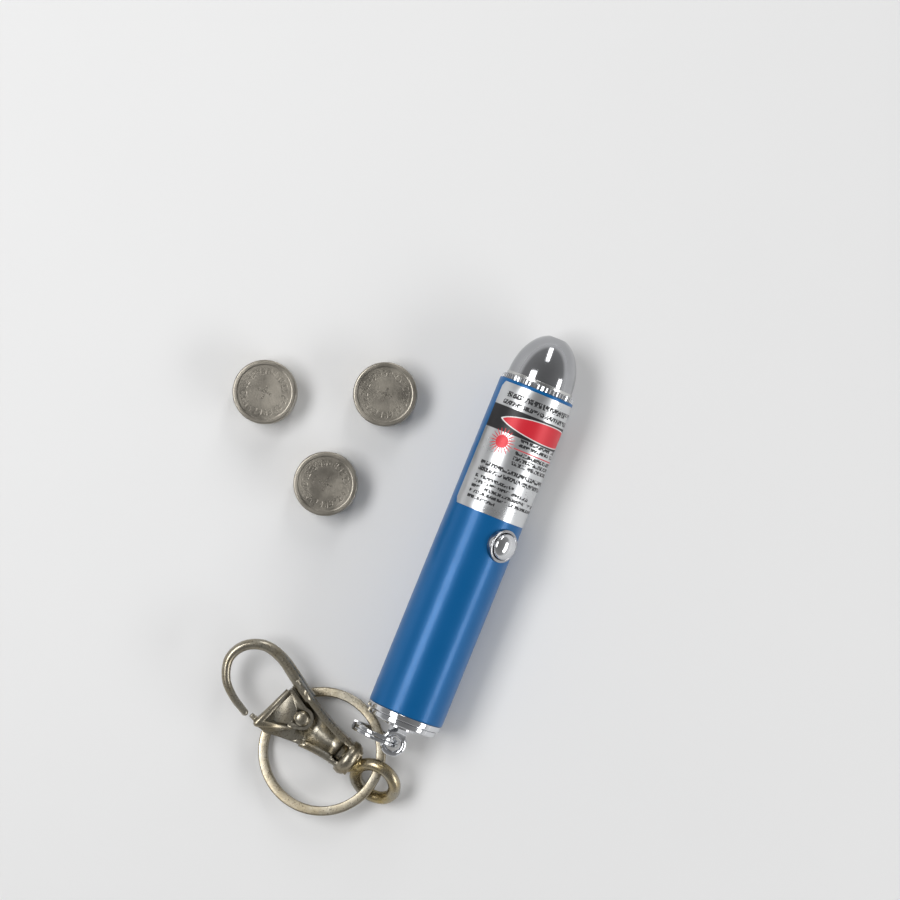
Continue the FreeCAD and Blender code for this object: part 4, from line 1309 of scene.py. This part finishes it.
# Lamps are (name, place from the aim, size, power), and the world's stops (height, grey).
LAMPS = (
    ("key", (-0.03, 0.26, 0.42), (0.36, 0.18), 1.5),
    ("fill", (-0.03, -0.42, 0.20), (0.36, 0.12), 0.8),
    ("front", (0.42, 0.04, 0.26), (0.10, 0.30), 0.5),
)
WORLD_STOPS = ((0.0, 0.7), (0.5, 0.86), (0.57, 0.8), (0.66, 0.34), (1.0, 0.2))
FLOOR_REACH = 1.5
FLOOR_GAP = 0.00003
FLOOR_FADE = (0.17, 0.65)
FLOOR_GLOW = (0.44, 0.44, 0.44)
SENSOR = 36.0


def area_light(name, place, aim, size, power):
    lamp = bpy.data.lights.new(name, "AREA")
    lamp.shape = "RECTANGLE"
    lamp.size, lamp.size_y = size
    lamp.energy = power
    obj = in_scene(name, lamp)
    obj.location = place
    obj.rotation_mode = "QUATERNION"
    obj.rotation_quaternion = (aim - place).to_track_quat("-Z", "Y")


def floor_paint(shade):
    """Matt paint that gives off a faint light far out, so that a low view has a pale horizon."""
    tree = Finish("floor_paint", 0.0, 0.7)
    distance = tree.add("ShaderNodeVectorMath", {"operation": "LENGTH"}, tree.place(), output=1)
    far = tree.mapped(distance, *FLOOR_FADE)
    return tree.done(
        Base_Color=tree.mixed(tree.noise(40.0), tinted(shade, 0.985), shade),
        Emission_Color=tree.mixed(far, (0, 0, 0), FLOOR_GLOW),
        Emission_Strength=1.0,
    )


def studio_world():
    """Grey by height: pale at and below the horizon, darker overhead."""
    world = bpy.data.worlds.new("studio")
    world.use_nodes = True
    world.node_tree.nodes.clear()
    sky = Tree(world.node_tree)
    around = sky.add("ShaderNodeTexCoord", output="Generated")
    height = sky.add("ShaderNodeSeparateXYZ", None, around, output="Z")
    grey = sky.add("ShaderNodeValToRGB", {"stops": WORLD_STOPS}, sky.mapped(height, -1.0, 1.0))
    sky.node("ShaderNodeOutputWorld", None, sky.add("ShaderNodeBackground", None, grey, 1.0))
    return world


class POINTER_OT_stage(bpy.types.Operator):
    """The floor, the lamps, the world and the camera"""

    bl_idname = "pointer.stage"
    bl_label = "Stage"

    def execute(self, context):
        stage = settings("pointer_stage")
        scene = context.scene
        scene.view_settings.view_transform = "Standard"
        scene.world = studio_world()

        mesh = bpy.data.meshes.new("floor")
        z = FLOOR_Z - FLOOR_GAP
        corners = [(s * FLOOR_REACH, t * FLOOR_REACH, z) for s, t in SIGNS]
        mesh.from_pydata(corners, [], [(0, 1, 2, 3)])
        mesh.materials.append(floor_paint(stage.floor))
        floor = in_scene("floor", mesh)

        aim = Vector((stage.aim_x, stage.aim_y, 0))
        for name, place, size, power in LAMPS:
            area_light(name, aim + Vector(place), aim, size, power)

        camera = bpy.data.cameras.new("camera")
        camera.lens = stage.lens
        camera.sensor_width = SENSOR
        camera.clip_start = 0.01
        camera.clip_end = 10
        view = in_scene("camera", camera)
        view.location = aim + UP * (stage.width * stage.lens / SENSOR)
        view.rotation_euler = (0, 0, math.radians(stage.roll))
        scene.camera = view
        return {"FINISHED"}


class POINTER_PT_pieces(bpy.types.Panel):
    """The pointer's pieces and settings, in the 3D view's sidebar"""

    bl_idname = "POINTER_PT_pieces"
    bl_label = "Keychain pointer"
    bl_space_type = "VIEW_3D"
    bl_region_type = "UI"
    bl_category = "Pointer"

    def draw(self, context):
        for operator in OPERATORS:
            self.layout.operator(operator.bl_idname)
        for name in SETTINGS:
            column = self.layout.column()
            for key in SETTINGS[name].__annotations__:
                column.prop(getattr(context.scene, name), key)


OPERATORS = (
    POINTER_OT_barrel,
    POINTER_OT_label,
    POINTER_OT_button,
    POINTER_OT_nose,
    POINTER_OT_knurl,
    POINTER_OT_end_cap,
    POINTER_OT_rings,
    POINTER_OT_clasp,
    POINTER_OT_cells,
    POINTER_OT_inside,
    POINTER_OT_stage,
)


def register():
    for group in SETTINGS.values():
        bpy.utils.register_class(group)
    for name, group in SETTINGS.items():
        setattr(bpy.types.Scene, name, bpy.props.PointerProperty(type=group))
    for operator in OPERATORS:
        bpy.utils.register_class(operator)
    bpy.utils.register_class(POINTER_PT_pieces)


def unregister():
    bpy.utils.unregister_class(POINTER_PT_pieces)
    for operator in reversed(OPERATORS):
        bpy.utils.unregister_class(operator)
    for name, group in SETTINGS.items():
        delattr(bpy.types.Scene, name)
        bpy.utils.unregister_class(group)


def main():
    register()
    make_finishes()
    for operator in OPERATORS:
        family, name = operator.bl_idname.split(".")
        getattr(getattr(bpy.ops, family), name)()


if __name__ == "__main__":
    main()
